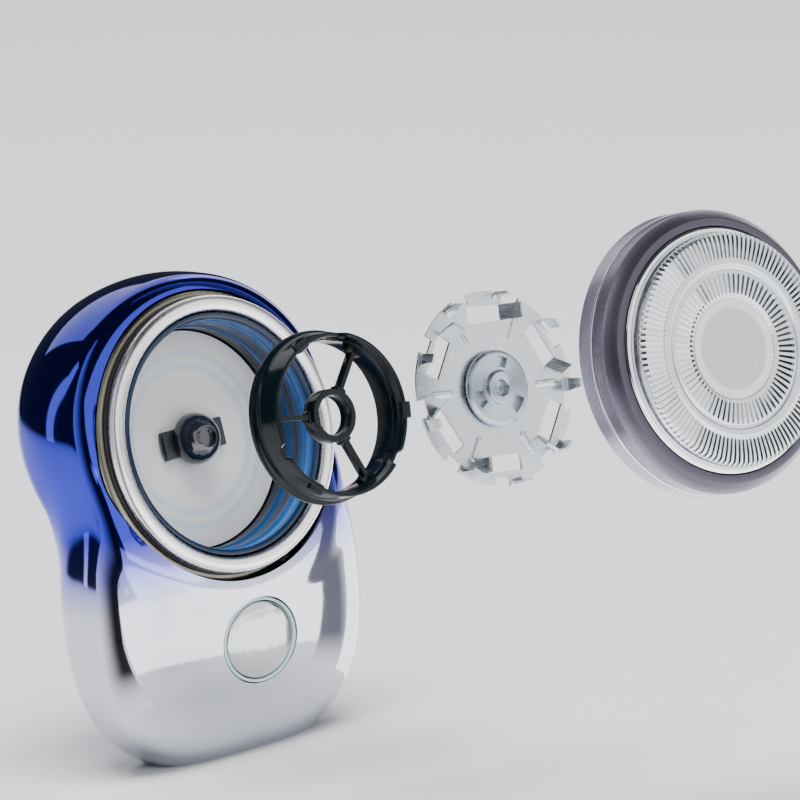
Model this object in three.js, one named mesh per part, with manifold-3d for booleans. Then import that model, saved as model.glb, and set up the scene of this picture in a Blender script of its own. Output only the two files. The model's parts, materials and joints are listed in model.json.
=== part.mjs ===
// A pocket rotary shaver, drawn apart along its head axis: the body stands on its base and looks along -Y,
// and the retaining frame, the cutter and the head cap hang in front of it, in the order they go together.
// Millimetres, +Z up, origin at the middle of the flat base.

import * as THREE from 'three';
import { mergeVertices } from 'three/addons/utils/BufferGeometryUtils.js';
import Module from 'manifold-3d';

const wasm = await Module();
wasm.setup();

// ---------------------------------------------------------------- driving dimensions

const TAU = Math.PI * 2;
const FIT = 0.2;             // loose fit between parts that slot together
const AIR = 0.3;             // gap kept between parts that lie against each other
const CUT_OVER = 1;          // how far a cutting tool runs past the face it opens

// Body shell: two blended lobes and a round pod for the head
const WALL = 1.5;
const LOWER = { z: 22.7, y: -0.3, halfWidth: 24.6, halfDepth: 10.2, halfHeight: 25, plan: 2.9, side: 2.5 };
const UPPER = { up: 5, out: -11.8, halfWidth: 23.6, halfDepth: 16.4, halfHeight: 19 };
const POD_WALL = 1.5;        // shell left around the collar's bore
const POD_DEPTH = 14;
const POD_EDGE = 3;
const POD_BLEND = 4;
const WAIST_BLEND = 5;
const SHELL_LEVELS = 34;
const SHELL_STEPS = 44;
const CAVITY_LEVELS = 14;
const CAVITY_STEPS = 24;

// Head: the chrome ring's front is the zero plane of the head axis
const HEAD_Z = 46.6;
const RING_Y = -7.9;
const HEAD_TILT = 11.2;      // the head looks up by this much
const RING_RADIUS = 20;
const RING_WIDTH = 2.35;
const RING_THICKNESS = 1.9;
const GASKET_THICKNESS = 0.6;
const GASKET_LIP = 0.1;       // how far the gasket shows round the ring
const COLLAR_LIP = 0.9;       // how far the collar shows round the ring
const COLLAR_WALL = 2.5;
const COLLAR_LENGTH = 5;
const COLLAR_PROUD = 1.2;    // how far the collar stands out of the shell
const CHAMBER_WALL = 0.9;
const CHAMBER_STEP = 0.35;
const CHAMBER_LIP = 0.7;     // the chamber's edge lies this far behind the ring's front
const CHAMBER_DEPTH = 9.3;
const CHAMBER_FLOOR = 1;
const PLATE_THICKNESS = 0.6;
const PLATE_HOLE = 2.6;
const O_RING = 0.3;
const SEAL_RADIUS = 3;
const SEAL_HEIGHT = 1.3;

// Drive
const SHAFT_RADIUS = 0.75;
const DOME_RADIUS = 3.8;
const DOME_HEIGHT = 3.6;
const DOME_SOCKET = 1.5;
const DOME_SOCKET_DEPTH = 1.3;
const ARM_LENGTH = 11.4;
const ARM_WIDTH = 4.1;
const ARM_THICKNESS = 0.8;
const MOTOR_RADIUS = 6.6;
const MOTOR_LENGTH = 9.6;
const MOTOR_WALL = 0.8;
const END_CAP_THICKNESS = 1;
const BUSH_RADIUS = 2.4;
const ARMATURE_RADIUS = 5;
const ARMATURE_LENGTH = 6;
const BRACKET_RADIUS = 13;
const BRACKET_THICKNESS = 1.1;
const SCREW_RADIUS = 0.9;
const SCREW_HEAD = 1.7;
const SCREW_HEAD_HEIGHT = 0.9;
const MOTOR_SCREW_CIRCLE = 9.8;

// Retaining frame
const FRAME_RADIUS = 11.8;
const FRAME_WALL = 1.05;
const FRAME_LENGTH = 6;
const FLANGE_LIP = 0.7;
const FLANGE_LENGTH = 1.5;
const HUB_RADIUS = 3.85;
const HUB_BORE = 2.9;
const HUB_START = 1.7;
const HUB_LENGTH = 2.6;
const SPOKES = 3;
const SPOKE_PHASE = 170.5;
const SPOKE_WIDTH = 0.9;
const SPOKE_DEPTH = 1.4;
const FOOT_LENGTH = 1.6;       // where a spoke widens against the wall
const FOOT_WIDTH = 3.2;
const EAR_REACH = 1.4;
const EAR_WIDTH = 3.4;
const NOTCH_TURN = 25;        // how far round from its spoke a notch lies
const EAR_THICKNESS = 0.9;
const NOTCH_WIDTH = 2.2;
const NOTCH_DEPTH = 1.1;

// Cutter
const CUTTER_RADIUS = 13.85;
const CUTTER_THICKNESS = 0.4;
const WINDOWS = 6;
const WINDOW_PHASE = 22.5;
const WINDOW_LENGTH = 6.2;
const WINDOW_WIDTH = 2.3;
const WINDOW_INSET = 3.25;    // from the rim to the windows' middle circle
const TAB_HEIGHT = 2.9;
const TAB_LEAN = 28;
const GROOVE_LENGTH = 3.9;
const GROOVE_WIDTH = 1;
const GROOVE_DEPTH = 0.2;
const GROOVE_INSET = 4.45;
const PRONGS = 9;
const PRONG_PHASE = 30;
const RIM_NOTCH_PHASE = 20;
const PRONG_WIDTH = 1.5;
const PRONG_THICKNESS = 0.4;
const PRONG_HEIGHT = 3.4;
const RIM_NOTCH = 2.6;
const RIM_NOTCH_DEPTH = 1.3;
const DRUM_RADIUS = 5.4;
const DRUM_HEIGHT = 1;
const DRUM_WALL = 0.8;
const DRUM_WINDOWS = 3;
const DRUM_WINDOW_PHASE = 72;
const DRUM_WINDOW = { length: 1.5, width: 1.9, circle: 3.7 };
const BOSS_RADIUS = 2.4;
const BOSS_HEIGHT = 0.7;
const BOSS_BORE = 1.1;
const STEM_RADIUS = 1.95;
const STEM_LENGTH = 8.6;
const KEY_RADIUS = 1.25;
const KEY_LENGTH = 0.9;
const BUSH_LENGTH = 5;

// Head cap
const CAP_WALL_LENGTH = 5.7;
const CAP_SPLIT = 2.7;
const CAP_LINE = 0.25;
const CAP_BEVEL_LENGTH = 2.1;
const CAP_RIM = 1.2;
const TRIM_WIDTH = 1.3;
const TRIM_HEIGHT = 0.9;
const NET_INSET = 0.2;        // the net's edge lies this far inside the holder's
const NET_THICKNESS = 0.35;
const NET_PROUD = 2;
const NET_SKIRT = 0.9;
const TRACK_GROOVE = 11.55;
const TRACK_GROOVE_WIDTH = 1.3;
const TRACK_GROOVE_DEPTH = 0.45;
const OUTER_SLOTS = 44;
const OUTER_SLOT = { from: 12.6, to: 15.4, width: 0.5 };
const INNER_SLOTS = 26;
const INNER_SLOT = { from: 7.9, to: 10.5, width: 0.5 };
const DISC_RADIUS = 7.1;
const DISC_THICKNESS = 0.5;
const HOLDER_WALL = 1.1;
const HOLDER_SPIGOT = 2.2;

// How far each loose part hangs in front of the ring
const CAP_OUT = 106.4;
const FRAME_OUT = 21.1;
const CUTTER_OUT = 61.6;

// Button
const BUTTON_Z = 16.5;
const BUTTON_Y = -10.1;
const BUTTON_TILT = 2;
const BUTTON_RADIUS = 5.5;
const BUTTON_STRETCH = 1.1;   // the button is a little wider than it is tall
const BUTTON_THICKNESS = 1.2;
const BUTTON_CROWN = 0.35;
const BUTTON_EASE = 0.35;
const BUTTON_TRAVEL = 0.6;
const BUTTON_STEM = 1.1;
const LIGHT_RING_WALL = 0.4;
const LIGHT_RING_LENGTH = 1.9;
const LIGHT_RING_PROUD = 0.15;
const MEMBRANE_LIP = 1;     // how far the membrane reaches past the button
const MEMBRANE_THICKNESS = 0.5;

// Electronics in the lower lobe
const BOARD = { width: 22, height: 18.6, thickness: 1, y: -3.5, z: 15.6 };
const SWITCH = { side: 4.6, height: 1.2, plunger: 0.9, plungerHeight: 0.5 };
const CHASSIS = { width: 30, height: 14, thickness: 1.2, y: -1.9, z: 18 };
const BATTERY = { width: 27, height: 16.4, thickness: 6.8, y: 3.7, z: 20.3, corner: 1.6 };
const PORT = { width: 8.94, height: 3.26, wall: 0.35, tongue: 0.7, depth: 6.2, z: 8.6, mouth: 8.7 };
const DRIVER_CHIP = { side: 4.4, height: 0.9, x: -7.6, z: 20 };
const SMALL_CHIP = { width: 2, height: 0.8, length: 1.2, x: 7.6, levels: [15, 18] };
const LED = { width: 1.6, height: 1, z: 22.4, x: 6.4 };
const TERMINAL = { width: 2.2, thickness: 0.4, length: 2, x: 2.8 };
const LEAD_RADIUS = 0.45;
const CHASSIS_SCREW = { x: 13, z: 22.5 };
const LEAD = { x: 10, low: 8.6 };

const LATHE_FINE = 40;
const LATHE_PLAIN = 26;
const LATHE_SMALL = 16;

// ---------------------------------------------------------------- sizes that follow from the ones above

const SHELL_FACE = -(RING_THICKNESS + GASKET_THICKNESS + COLLAR_PROUD + FIT);
const COLLAR_FRONT = -(RING_THICKNESS + GASKET_THICKNESS + FIT);
const COLLAR_BACK = COLLAR_FRONT - COLLAR_LENGTH;
const RING_BORE = RING_RADIUS - RING_WIDTH;
const GASKET_RADIUS = RING_RADIUS + GASKET_LIP;
const COLLAR_RADIUS = RING_RADIUS + COLLAR_LIP;
const COLLAR_BORE = COLLAR_RADIUS - COLLAR_WALL;
const SHELL_BORE = COLLAR_RADIUS + FIT;
const POD_RADIUS = SHELL_BORE + POD_WALL;
const CHAMBER_RADIUS = RING_BORE - FIT;
const CHAMBER_BORE = CHAMBER_RADIUS - CHAMBER_WALL;
const FLOOR_TOP = -CHAMBER_DEPTH;
const FLOOR_BACK = FLOOR_TOP - CHAMBER_FLOOR;
const PLATE_TOP = FLOOR_TOP + FIT / 2 + PLATE_THICKNESS;
const ARM_BACK = PLATE_TOP + AIR;
const ARM_FRONT = ARM_BACK + ARM_THICKNESS;
const DOME_BACK = ARM_FRONT + FIT / 2;
const DOME_TOP = DOME_BACK + DOME_HEIGHT;
const SHAFT_TOP = DOME_BACK + (DOME_HEIGHT - DOME_SOCKET_DEPTH) / 2;
const BRACKET_FRONT = FLOOR_BACK - AIR;
const MOTOR_FRONT = BRACKET_FRONT - BRACKET_THICKNESS - AIR;
const MOTOR_BACK = MOTOR_FRONT - MOTOR_LENGTH;
const FLANGE_RADIUS = FRAME_RADIUS + FLANGE_LIP;
const EAR_RADIUS = FRAME_RADIUS + EAR_REACH;
const WINDOW_CIRCLE = CUTTER_RADIUS - WINDOW_INSET;
const GROOVE_CIRCLE = CUTTER_RADIUS - GROOVE_INSET;
const CAP_RADIUS = RING_RADIUS;
const HOLDER_RADIUS = CHAMBER_BORE - AIR;
const NET_RADIUS = HOLDER_RADIUS - NET_INSET;
const TRIM_RADIUS = NET_RADIUS + TRIM_WIDTH;
const MEMBRANE_RADIUS = BUTTON_RADIUS + MEMBRANE_LIP;
const CAP_RIM_TOP = CAP_WALL_LENGTH + CAP_BEVEL_LENGTH;
const NET_TOP = CAP_RIM_TOP + NET_PROUD;
const NET_BOTTOM = CAP_RIM_TOP - NET_SKIRT;
const rad = THREE.MathUtils.degToRad;
const SPINE_TOP_Y = RING_Y - UPPER.out * Math.cos(rad(HEAD_TILT)) + UPPER.up * Math.sin(rad(HEAD_TILT));

// ---------------------------------------------------------------- materials

const finish = (color, roughness, metalness) => new THREE.MeshStandardMaterial({ color, roughness, metalness });
const PLATED_BLUE = finish(0x3a4bd0, 0.12, 0.9);
const CHROME = finish(0xf4f5f7, 0.08, 1);
const COLLAR_METAL = finish(0x6e6a58, 0.25, 0.9);
const BLACK_RUBBER = finish(0x17181a, 0.6, 0);
const BLUE_PLASTIC = finish(0x1f6fa8, 0.15, 0.1);
const PALE_PLASTIC = finish(0xd6d8da, 0.45, 0);
const SMOKE_PLASTIC = finish(0x1b2026, 0.12, 0);
const BLACK_PLASTIC = finish(0x141b20, 0.2, 0);
const STEEL = finish(0xc9d2da, 0.2, 1);
const DARK_STEEL = finish(0x7c8288, 0.35, 1);
const MAUVE = finish(0x8e8599, 0.35, 0.7);
const MAUVE_DARK = finish(0x6f677b, 0.35, 0.7);
const NET_STEEL = finish(0xb9c2c9, 0.22, 1);
const DISC_GREY = finish(0xc4c5c7, 0.4, 0.3);
const BUTTON_STEEL = finish(0xd9dadb, 0.1, 1);
const TEAL_GLASS = finish(0x9fd8cc, 0.2, 0);
const BOARD_GREEN = finish(0x1e5b3c, 0.5, 0);
const BATTERY_FOIL = finish(0x9aa3ad, 0.35, 0.7);
const COPPER = finish(0xb8733e, 0.35, 1);
const WHITE_PLASTIC = finish(0xe8e8e6, 0.5, 0);
const RED_LEAD = finish(0xb02a22, 0.5, 0);
const BLACK_LEAD = finish(0x202022, 0.5, 0);

// ---------------------------------------------------------------- geometry helpers

// A closed mesh as a solid: equal corners are merged, empty triangles dropped, and the faces turned outwards
function solid(geometry) {
  const bare = geometry.clone();
  bare.deleteAttribute('normal');
  bare.deleteAttribute('uv');
  const merged = mergeVertices(bare, 1e-4);
  const corner = merged.attributes.position.array;
  const index = merged.index.array;
  const kept = [];
  let volume = 0;
  for (let i = 0; i < index.length; i += 3) {
    const [a, b, c] = [index[i], index[i + 1], index[i + 2]];
    if (a === b || b === c || c === a) continue;
    kept.push(a, b, c);
    const [p, q, r] = [a, b, c].map((n) => new THREE.Vector3(corner[n * 3], corner[n * 3 + 1], corner[n * 3 + 2]));
    volume += p.dot(q.cross(r));
  }
  if (volume < 0) kept.reverse();
  const vertProperties = new Float32Array(corner);
  const triVerts = new Uint32Array(kept);
  return new wasm.Manifold(new wasm.Mesh({ numProp: 3, vertProperties, triVerts }));
}

function geometryOf(manifold) {
  const mesh = manifold.getMesh();
  const geometry = new THREE.BufferGeometry();
  geometry.setAttribute('position', new THREE.BufferAttribute(new Float32Array(mesh.vertProperties), 3));
  geometry.setIndex(new THREE.BufferAttribute(new Uint32Array(mesh.triVerts), 1));
  geometry.computeVertexNormals();
  return geometry;
}

const joined = (solids) => wasm.Manifold.union(solids);

// A profile of [radius, height] pairs turned about Z; a profile off the axis is closed on itself
function turned(profile, segments = LATHE_PLAIN) {
  const points = profile.map(([r, z]) => new THREE.Vector2(r, z));
  if (profile[0][0] > 0 || profile[profile.length - 1][0] > 0) points.push(points[0].clone());
  return solid(new THREE.LatheGeometry(points, segments).rotateX(Math.PI / 2));
}

const tube = (inner, outer, from, to, segments = LATHE_PLAIN) => turned(
  [[inner, from], [outer, from], [outer, to], [inner, to]], segments);
const rod = (radius, from, to, segments = LATHE_SMALL) => turned(
  [[0, from], [radius, from], [radius, to], [0, to]], segments);

// An arc of [radius, height] pairs about (r, z), between two angles in degrees
function arc(r, z, radius, start, end, steps) {
  return Array.from({ length: steps + 1 }, (_, i) => {
    const angle = rad(start + (end - start) * i / steps);
    return [r + radius * Math.cos(angle), z + radius * Math.sin(angle)];
  });
}

const block = (width, depth, height, x = 0, y = 0, z = 0) => solid(
  new THREE.BoxGeometry(width, depth, height).translate(x, y, z));

// A block carried to a radius and turned round the axis; lean tips it over along its length
function spun(width, depth, height, radius, z, degrees, lean = 0) {
  const box = new THREE.BoxGeometry(width, depth, height);
  box.translate(0, 0, height / 2).rotateX(rad(lean)).translate(radius, 0, z).rotateZ(rad(degrees));
  return solid(box);
}

function roundedShape(width, height, radius, steps = 4) {
  const [x, y] = [width / 2 - radius, height / 2 - radius];
  const shape = new THREE.Shape();
  shape.absarc(x, y, radius, 0, TAU / 4, false);
  shape.absarc(-x, y, radius, TAU / 4, TAU / 2, false);
  shape.absarc(-x, -y, radius, TAU / 2, TAU * 3 / 4, false);
  shape.absarc(x, -y, radius, TAU * 3 / 4, TAU, false);
  return new THREE.Shape(shape.extractPoints(steps).shape);
}

const roundedBar = (width, height, radius, length) => new THREE.ExtrudeGeometry(
  roundedShape(width, height, radius), { depth: length, bevelEnabled: false });

function wire(points, radius, steps) {
  const circle = new THREE.Shape().absarc(0, 0, radius, 0, TAU, false);
  const path = new THREE.CatmullRomCurve3(points.map((p) => new THREE.Vector3(...p)));
  return solid(new THREE.ExtrudeGeometry(circle, { extrudePath: path, steps, curveSegments: 2 }));
}

const around = (count, phase, make) => Array.from({ length: count }, (_, i) => make(phase + 360 * i / count));

function part(name, shape, material, parent) {
  const mesh = new THREE.Mesh(geometryOf(shape), material);
  mesh.name = name;
  parent.add(mesh);
  return mesh;
}

// ---------------------------------------------------------------- body shell

const clamp = THREE.MathUtils.clamp;

function blendMin(a, b, k) {
  const h = clamp(0.5 + 0.5 * (b - a) / k, 0, 1);
  return b * (1 - h) + a * h - k * h * (1 - h);
}

const blendMax = (a, b, k) => -blendMin(-a, -b, k);

// Roughly the distance to a lobe: the reach is 1 on its surface, and less inside
const lobeField = (x, y, z, reach) => Math.hypot(x, y, z) * (1 - 1 / Math.max(reach, 1e-6));

// The lower lobe is a superellipsoid, squarer in plan than from the side
function lowerField(x, y, z) {
  const [px, py, pz] = [x, y - LOWER.y, z - LOWER.z];
  const plan = (Math.abs(px) / LOWER.halfWidth) ** LOWER.plan + (Math.abs(py) / LOWER.halfDepth) ** LOWER.plan;
  const side = plan ** (LOWER.side / LOWER.plan) + (Math.abs(pz) / LOWER.halfHeight) ** LOWER.side;
  return lobeField(px, py, pz, side ** (1 / LOWER.side));
}

// The upper lobe is an ellipsoid that leans with the head; its front is cut flat and carries the round pod.
// The body is the two lobes, blended at the waist.
function bodyField(x, y, z) {
  const [sin, cos] = [Math.sin(rad(HEAD_TILT)), Math.cos(rad(HEAD_TILT))];
  const out = (RING_Y - y) * cos + (z - HEAD_Z) * sin;
  const up = (y - RING_Y) * sin + (z - HEAD_Z) * cos;
  const behind = out - SHELL_FACE;
  const pod = blendMax(Math.hypot(x, up) - POD_RADIUS, Math.abs(behind + POD_DEPTH / 2) - POD_DEPTH / 2, POD_EDGE);
  const [pu, pw] = [out - UPPER.out, up - UPPER.up];
  const reach = Math.hypot(x / UPPER.halfWidth, pu / UPPER.halfDepth, pw / UPPER.halfHeight);
  const upper = blendMax(lobeField(x, pu, pw, reach), behind, POD_EDGE);
  return blendMin(lowerField(x, y, z), blendMin(upper, pod, POD_BLEND), WAIST_BLEND);
}

// The line that the level rings are taken round
const spineY = (z) => LOWER.y + (SPINE_TOP_Y - LOWER.y) * THREE.MathUtils.smoothstep(z, LOWER.z, HEAD_Z);

function whereFieldMeets(value, point, near, far) {
  let [low, high] = [near, far];
  for (let i = 0; i < 40; i++) {
    const middle = (low + high) / 2;
    if (bodyField(...point(middle)) < value) low = middle;
    else high = middle;
  }
  return (low + high) / 2;
}

// Level rings round the spine, from a flat bottom to a pole at the top, on the body's surface less an inset
function bodyLoft(bottom, inset, levels, steps) {
  const reach = UPPER.halfWidth + LOWER.halfWidth;
  const top = whereFieldMeets(-inset, (z) => [0, SPINE_TOP_Y, z], HEAD_Z, HEAD_Z + reach);
  const corners = [0, spineY(bottom), bottom];
  for (let level = 0; level < levels; level++) {
    const z = bottom + (top - bottom) * (1 - Math.cos(Math.PI * (level + 0.6) / (levels + 0.2))) / 2;
    const height = level === 0 ? bottom : z;
    for (let step = 0; step < steps; step++) {
      const angle = TAU * step / steps;
      const at = (r) => [r * Math.cos(angle), spineY(height) + r * Math.sin(angle), height];
      corners.push(...at(whereFieldMeets(-inset, at, 0, reach)));
    }
  }
  corners.push(0, SPINE_TOP_Y, top);
  const ring = (level, step) => 1 + level * steps + (step % steps);
  const last = 1 + levels * steps;
  const faces = [];
  for (let step = 0; step < steps; step++) {
    faces.push(0, ring(0, step + 1), ring(0, step));
    faces.push(ring(levels - 1, step), ring(levels - 1, step + 1), last);
    for (let level = 0; level < levels - 1; level++) {
      const [a, b] = [ring(level, step), ring(level, step + 1)];
      const [c, d] = [ring(level + 1, step + 1), ring(level + 1, step)];
      faces.push(a, b, c, a, c, d);
    }
  }
  const geometry = new THREE.BufferGeometry();
  geometry.setAttribute('position', new THREE.BufferAttribute(new Float32Array(corners), 3));
  geometry.setIndex(faces);
  return solid(geometry);
}

// A tool modelled along +Z, laid so that +Z points out of the head
const towardsFront = (shape) => shape.transform(new THREE.Matrix4()
  .makeRotationX(Math.PI / 2 - rad(HEAD_TILT)).setPosition(0, RING_Y, HEAD_Z).toArray());
const towardsButton = (shape) => shape.transform(new THREE.Matrix4()
  .makeRotationX(Math.PI / 2 + rad(BUTTON_TILT)).setPosition(0, BUTTON_Y, BUTTON_Z).toArray());

const widened = (shape) => shape.scale([BUTTON_STRETCH, 1, 1]);

function bodyShell() {
  const outside = bodyLoft(0, 0, SHELL_LEVELS, SHELL_STEPS);
  const inside = bodyLoft(WALL, WALL, CAVITY_LEVELS, CAVITY_STEPS);
  const headBore = towardsFront(rod(SHELL_BORE, COLLAR_BACK - FIT, CUT_OVER, LATHE_FINE));
  const holeRadius = BUTTON_RADIUS + FIT + LIGHT_RING_WALL + FIT;
  const buttonHole = towardsButton(widened(rod(holeRadius, -WALL - CUT_OVER - 1, WALL + CUT_OVER, LATHE_FINE)));
  const mouth = roundedBar(PORT.width + 2 * FIT, PORT.height + 2 * FIT, PORT.height / 2, LOWER.halfDepth);
  const portHole = solid(mouth.rotateX(-Math.PI / 2).translate(0, PORT.mouth - WALL - CUT_OVER, PORT.z));
  return outside.subtract(inside).subtract(headBore).subtract(buttonHole).subtract(portHole);
}

// ---------------------------------------------------------------- head, on the body's side

// Half-round front face on a flat back
function chromeRing() {
  const middle = (RING_RADIUS + RING_BORE) / 2;
  const half = (RING_RADIUS - RING_BORE) / 2;
  return turned([[RING_BORE, -RING_THICKNESS], [RING_RADIUS, -RING_THICKNESS],
    ...arc(middle, -half, half, 0, 180, 4)], LATHE_FINE);
}

function headCollar() {
  const lip = COLLAR_FRONT - 0.5;
  return turned([[COLLAR_BORE, COLLAR_BACK], [COLLAR_RADIUS, COLLAR_BACK], [COLLAR_RADIUS, lip],
    [COLLAR_RADIUS - 0.5, COLLAR_FRONT], [COLLAR_BORE, COLLAR_FRONT]], LATHE_FINE);
}

// The chamber's wall steps in twice on its way down to the floor
function hairChamber() {
  const [lip, first, second] = [-CHAMBER_LIP, -CHAMBER_DEPTH / 3, -CHAMBER_DEPTH * 2 / 3];
  const hole = SEAL_RADIUS + FIT;
  const bore = CHAMBER_BORE;
  const step = CHAMBER_STEP;
  return turned([[hole, FLOOR_BACK], [CHAMBER_RADIUS, FLOOR_BACK], [CHAMBER_RADIUS, lip], [bore, lip],
    [bore, first], [bore - step, first], [bore - step, second], [bore - 2 * step, second],
    [bore - 2 * step, FLOOR_TOP], [hole, FLOOR_TOP]], LATHE_FINE);
}

function floorPlate() {
  const outer = CHAMBER_BORE - 2 * CHAMBER_STEP - FIT;
  const bottom = PLATE_TOP - PLATE_THICKNESS;
  return tube(PLATE_HOLE, outer, bottom, PLATE_TOP, LATHE_FINE);
}

function roundRing(radius, z, thickness, segments) {
  return turned(arc(radius, z, thickness, 0, 300, 5), segments);
}

function shaftSeal() {
  const bottom = FLOOR_TOP - CHAMBER_FLOOR * 0.8;
  return turned([[SHAFT_RADIUS + FIT, bottom], [SEAL_RADIUS, bottom], [SEAL_RADIUS, bottom + SEAL_HEIGHT / 2],
    [SHAFT_RADIUS + 2 * FIT, bottom + SEAL_HEIGHT], [SHAFT_RADIUS + FIT, bottom + SEAL_HEIGHT]], LATHE_SMALL);
}

// ---------------------------------------------------------------- drive and motor

function driveDome() {
  const cap = arc(0, 0, 1, 0, 90, 7).map(([r, z]) => [r * DOME_RADIUS, DOME_BACK + z * DOME_HEIGHT]);
  const dome = turned([[0, DOME_BACK], ...cap.slice(0, -1), [0, DOME_TOP]], LATHE_PLAIN);
  const socket = rod(DOME_SOCKET, DOME_TOP - DOME_SOCKET_DEPTH, DOME_TOP + CUT_OVER, 6);
  return dome.subtract(socket).subtract(rod(SHAFT_RADIUS + FIT / 2, DOME_BACK - CUT_OVER, SHAFT_TOP + FIT / 2));
}

function driveArm() {
  const bar = solid(roundedBar(ARM_LENGTH, ARM_WIDTH, ARM_THICKNESS / 2, ARM_THICKNESS).translate(0, 0, ARM_BACK));
  return bar.subtract(rod(SHAFT_RADIUS + FIT, ARM_BACK - CUT_OVER, ARM_FRONT + CUT_OVER));
}

function motorCan() {
  const hole = BUSH_RADIUS + FIT;
  const front = MOTOR_FRONT - MOTOR_WALL;
  return turned([[hole, MOTOR_FRONT], [MOTOR_RADIUS, MOTOR_FRONT], [MOTOR_RADIUS, MOTOR_BACK],
    [MOTOR_RADIUS - MOTOR_WALL, MOTOR_BACK], [MOTOR_RADIUS - MOTOR_WALL, front], [hole, front]], LATHE_PLAIN);
}

const motorBush = (top, bottom) => tube(SHAFT_RADIUS + FIT / 2, BUSH_RADIUS, bottom, top, LATHE_SMALL);

function motorEndCap() {
  const top = MOTOR_BACK - FIT / 2;
  const disc = rod(MOTOR_RADIUS - 0.4, top - END_CAP_THICKNESS, top, LATHE_PLAIN);
  const slots = [-1, 1].map((side) => block(TERMINAL.width + FIT, TERMINAL.thickness + FIT, END_CAP_THICKNESS + 2,
    side * TERMINAL.x, 0, top - END_CAP_THICKNESS / 2));
  return disc.subtract(joined(slots));
}

const armature = () => {
  const middle = (MOTOR_FRONT + MOTOR_BACK) / 2;
  const [from, to] = [middle - ARMATURE_LENGTH / 2, middle + ARMATURE_LENGTH / 2];
  const core = tube(SHAFT_RADIUS + FIT / 2, ARMATURE_RADIUS, from, to, LATHE_SMALL + 4);
  const gaps = around(3, 90, (angle) => spun(2.4, 1.2, ARMATURE_LENGTH + 2, ARMATURE_RADIUS - 0.7, from - 1, angle));
  return core.subtract(joined(gaps));
};

function motorBracket() {
  const back = BRACKET_FRONT - BRACKET_THICKNESS;
  const disc = rod(BRACKET_RADIUS, back, BRACKET_FRONT, LATHE_PLAIN);
  const bore = rod(BUSH_RADIUS + FIT, back - 1, BRACKET_FRONT + 1);
  const holes = around(2, 0, (angle) => rod(SCREW_RADIUS + FIT, back - 1, BRACKET_FRONT + 1, 12)
    .translate(MOTOR_SCREW_CIRCLE * Math.cos(rad(angle)), MOTOR_SCREW_CIRCLE * Math.sin(rad(angle)), 0));
  return disc.subtract(bore).subtract(joined(holes));
}

// A cheese-head screw along Z whose head's underside is at the given height, with a slot
function screw(length, under) {
  const head = turned([[0, under], [SCREW_HEAD, under], [SCREW_HEAD, under + SCREW_HEAD_HEIGHT],
    [0, under + SCREW_HEAD_HEIGHT]], 16);
  const shank = rod(SCREW_RADIUS, under - length, under + SCREW_HEAD_HEIGHT / 2, 12);
  return head.add(shank).subtract(block(2 * SCREW_HEAD + 1, 0.5, 0.9, 0, 0, under + SCREW_HEAD_HEIGHT));
}

// ---------------------------------------------------------------- retaining frame

function retainingFrame() {
  const inner = FRAME_RADIUS - FRAME_WALL;
  const wall = turned([[inner, 0], [FLANGE_RADIUS - 0.4, 0], [FLANGE_RADIUS, 0.4],
    [FLANGE_RADIUS, FLANGE_LENGTH - 0.3], [FRAME_RADIUS, FLANGE_LENGTH], [FRAME_RADIUS, FRAME_LENGTH],
    [inner, FRAME_LENGTH]], LATHE_FINE);
  const hub = tube(HUB_BORE, HUB_RADIUS, HUB_START, HUB_START + HUB_LENGTH, LATHE_SMALL + 4);
  const reach = inner - HUB_RADIUS + FRAME_WALL;
  const middle = (HUB_RADIUS + inner) / 2;
  const spokeZ = HUB_START + (HUB_LENGTH - SPOKE_DEPTH) / 2;
  const spokes = around(SPOKES, SPOKE_PHASE, (angle) => spun(reach, SPOKE_WIDTH, SPOKE_DEPTH, middle, spokeZ, angle));
  const feet = around(SPOKES, SPOKE_PHASE, (angle) => spun(FOOT_LENGTH, FOOT_WIDTH, SPOKE_DEPTH,
    inner - AIR, spokeZ, angle));
  const ears = around(SPOKES, SPOKE_PHASE + 60, (angle) => spun(EAR_RADIUS - inner, EAR_WIDTH, EAR_THICKNESS,
    (EAR_RADIUS + inner) / 2, FRAME_LENGTH - EAR_THICKNESS, angle));
  const notches = around(SPOKES, SPOKE_PHASE + NOTCH_TURN, (angle) => spun(3 * FRAME_WALL, NOTCH_WIDTH, NOTCH_DEPTH + 1,
    FRAME_RADIUS, FRAME_LENGTH - NOTCH_DEPTH, angle));
  const trimmed = joined([...spokes, ...feet]).subtract(rod(HUB_BORE + 0.3, -1, FRAME_LENGTH + 1));
  const clean = trimmed.intersect(rod(FRAME_RADIUS - 0.2, -1, FRAME_LENGTH + 1, LATHE_FINE));
  return joined([wall, hub, clean, ...ears]).subtract(joined(notches));
}

// ---------------------------------------------------------------- cutter

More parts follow.
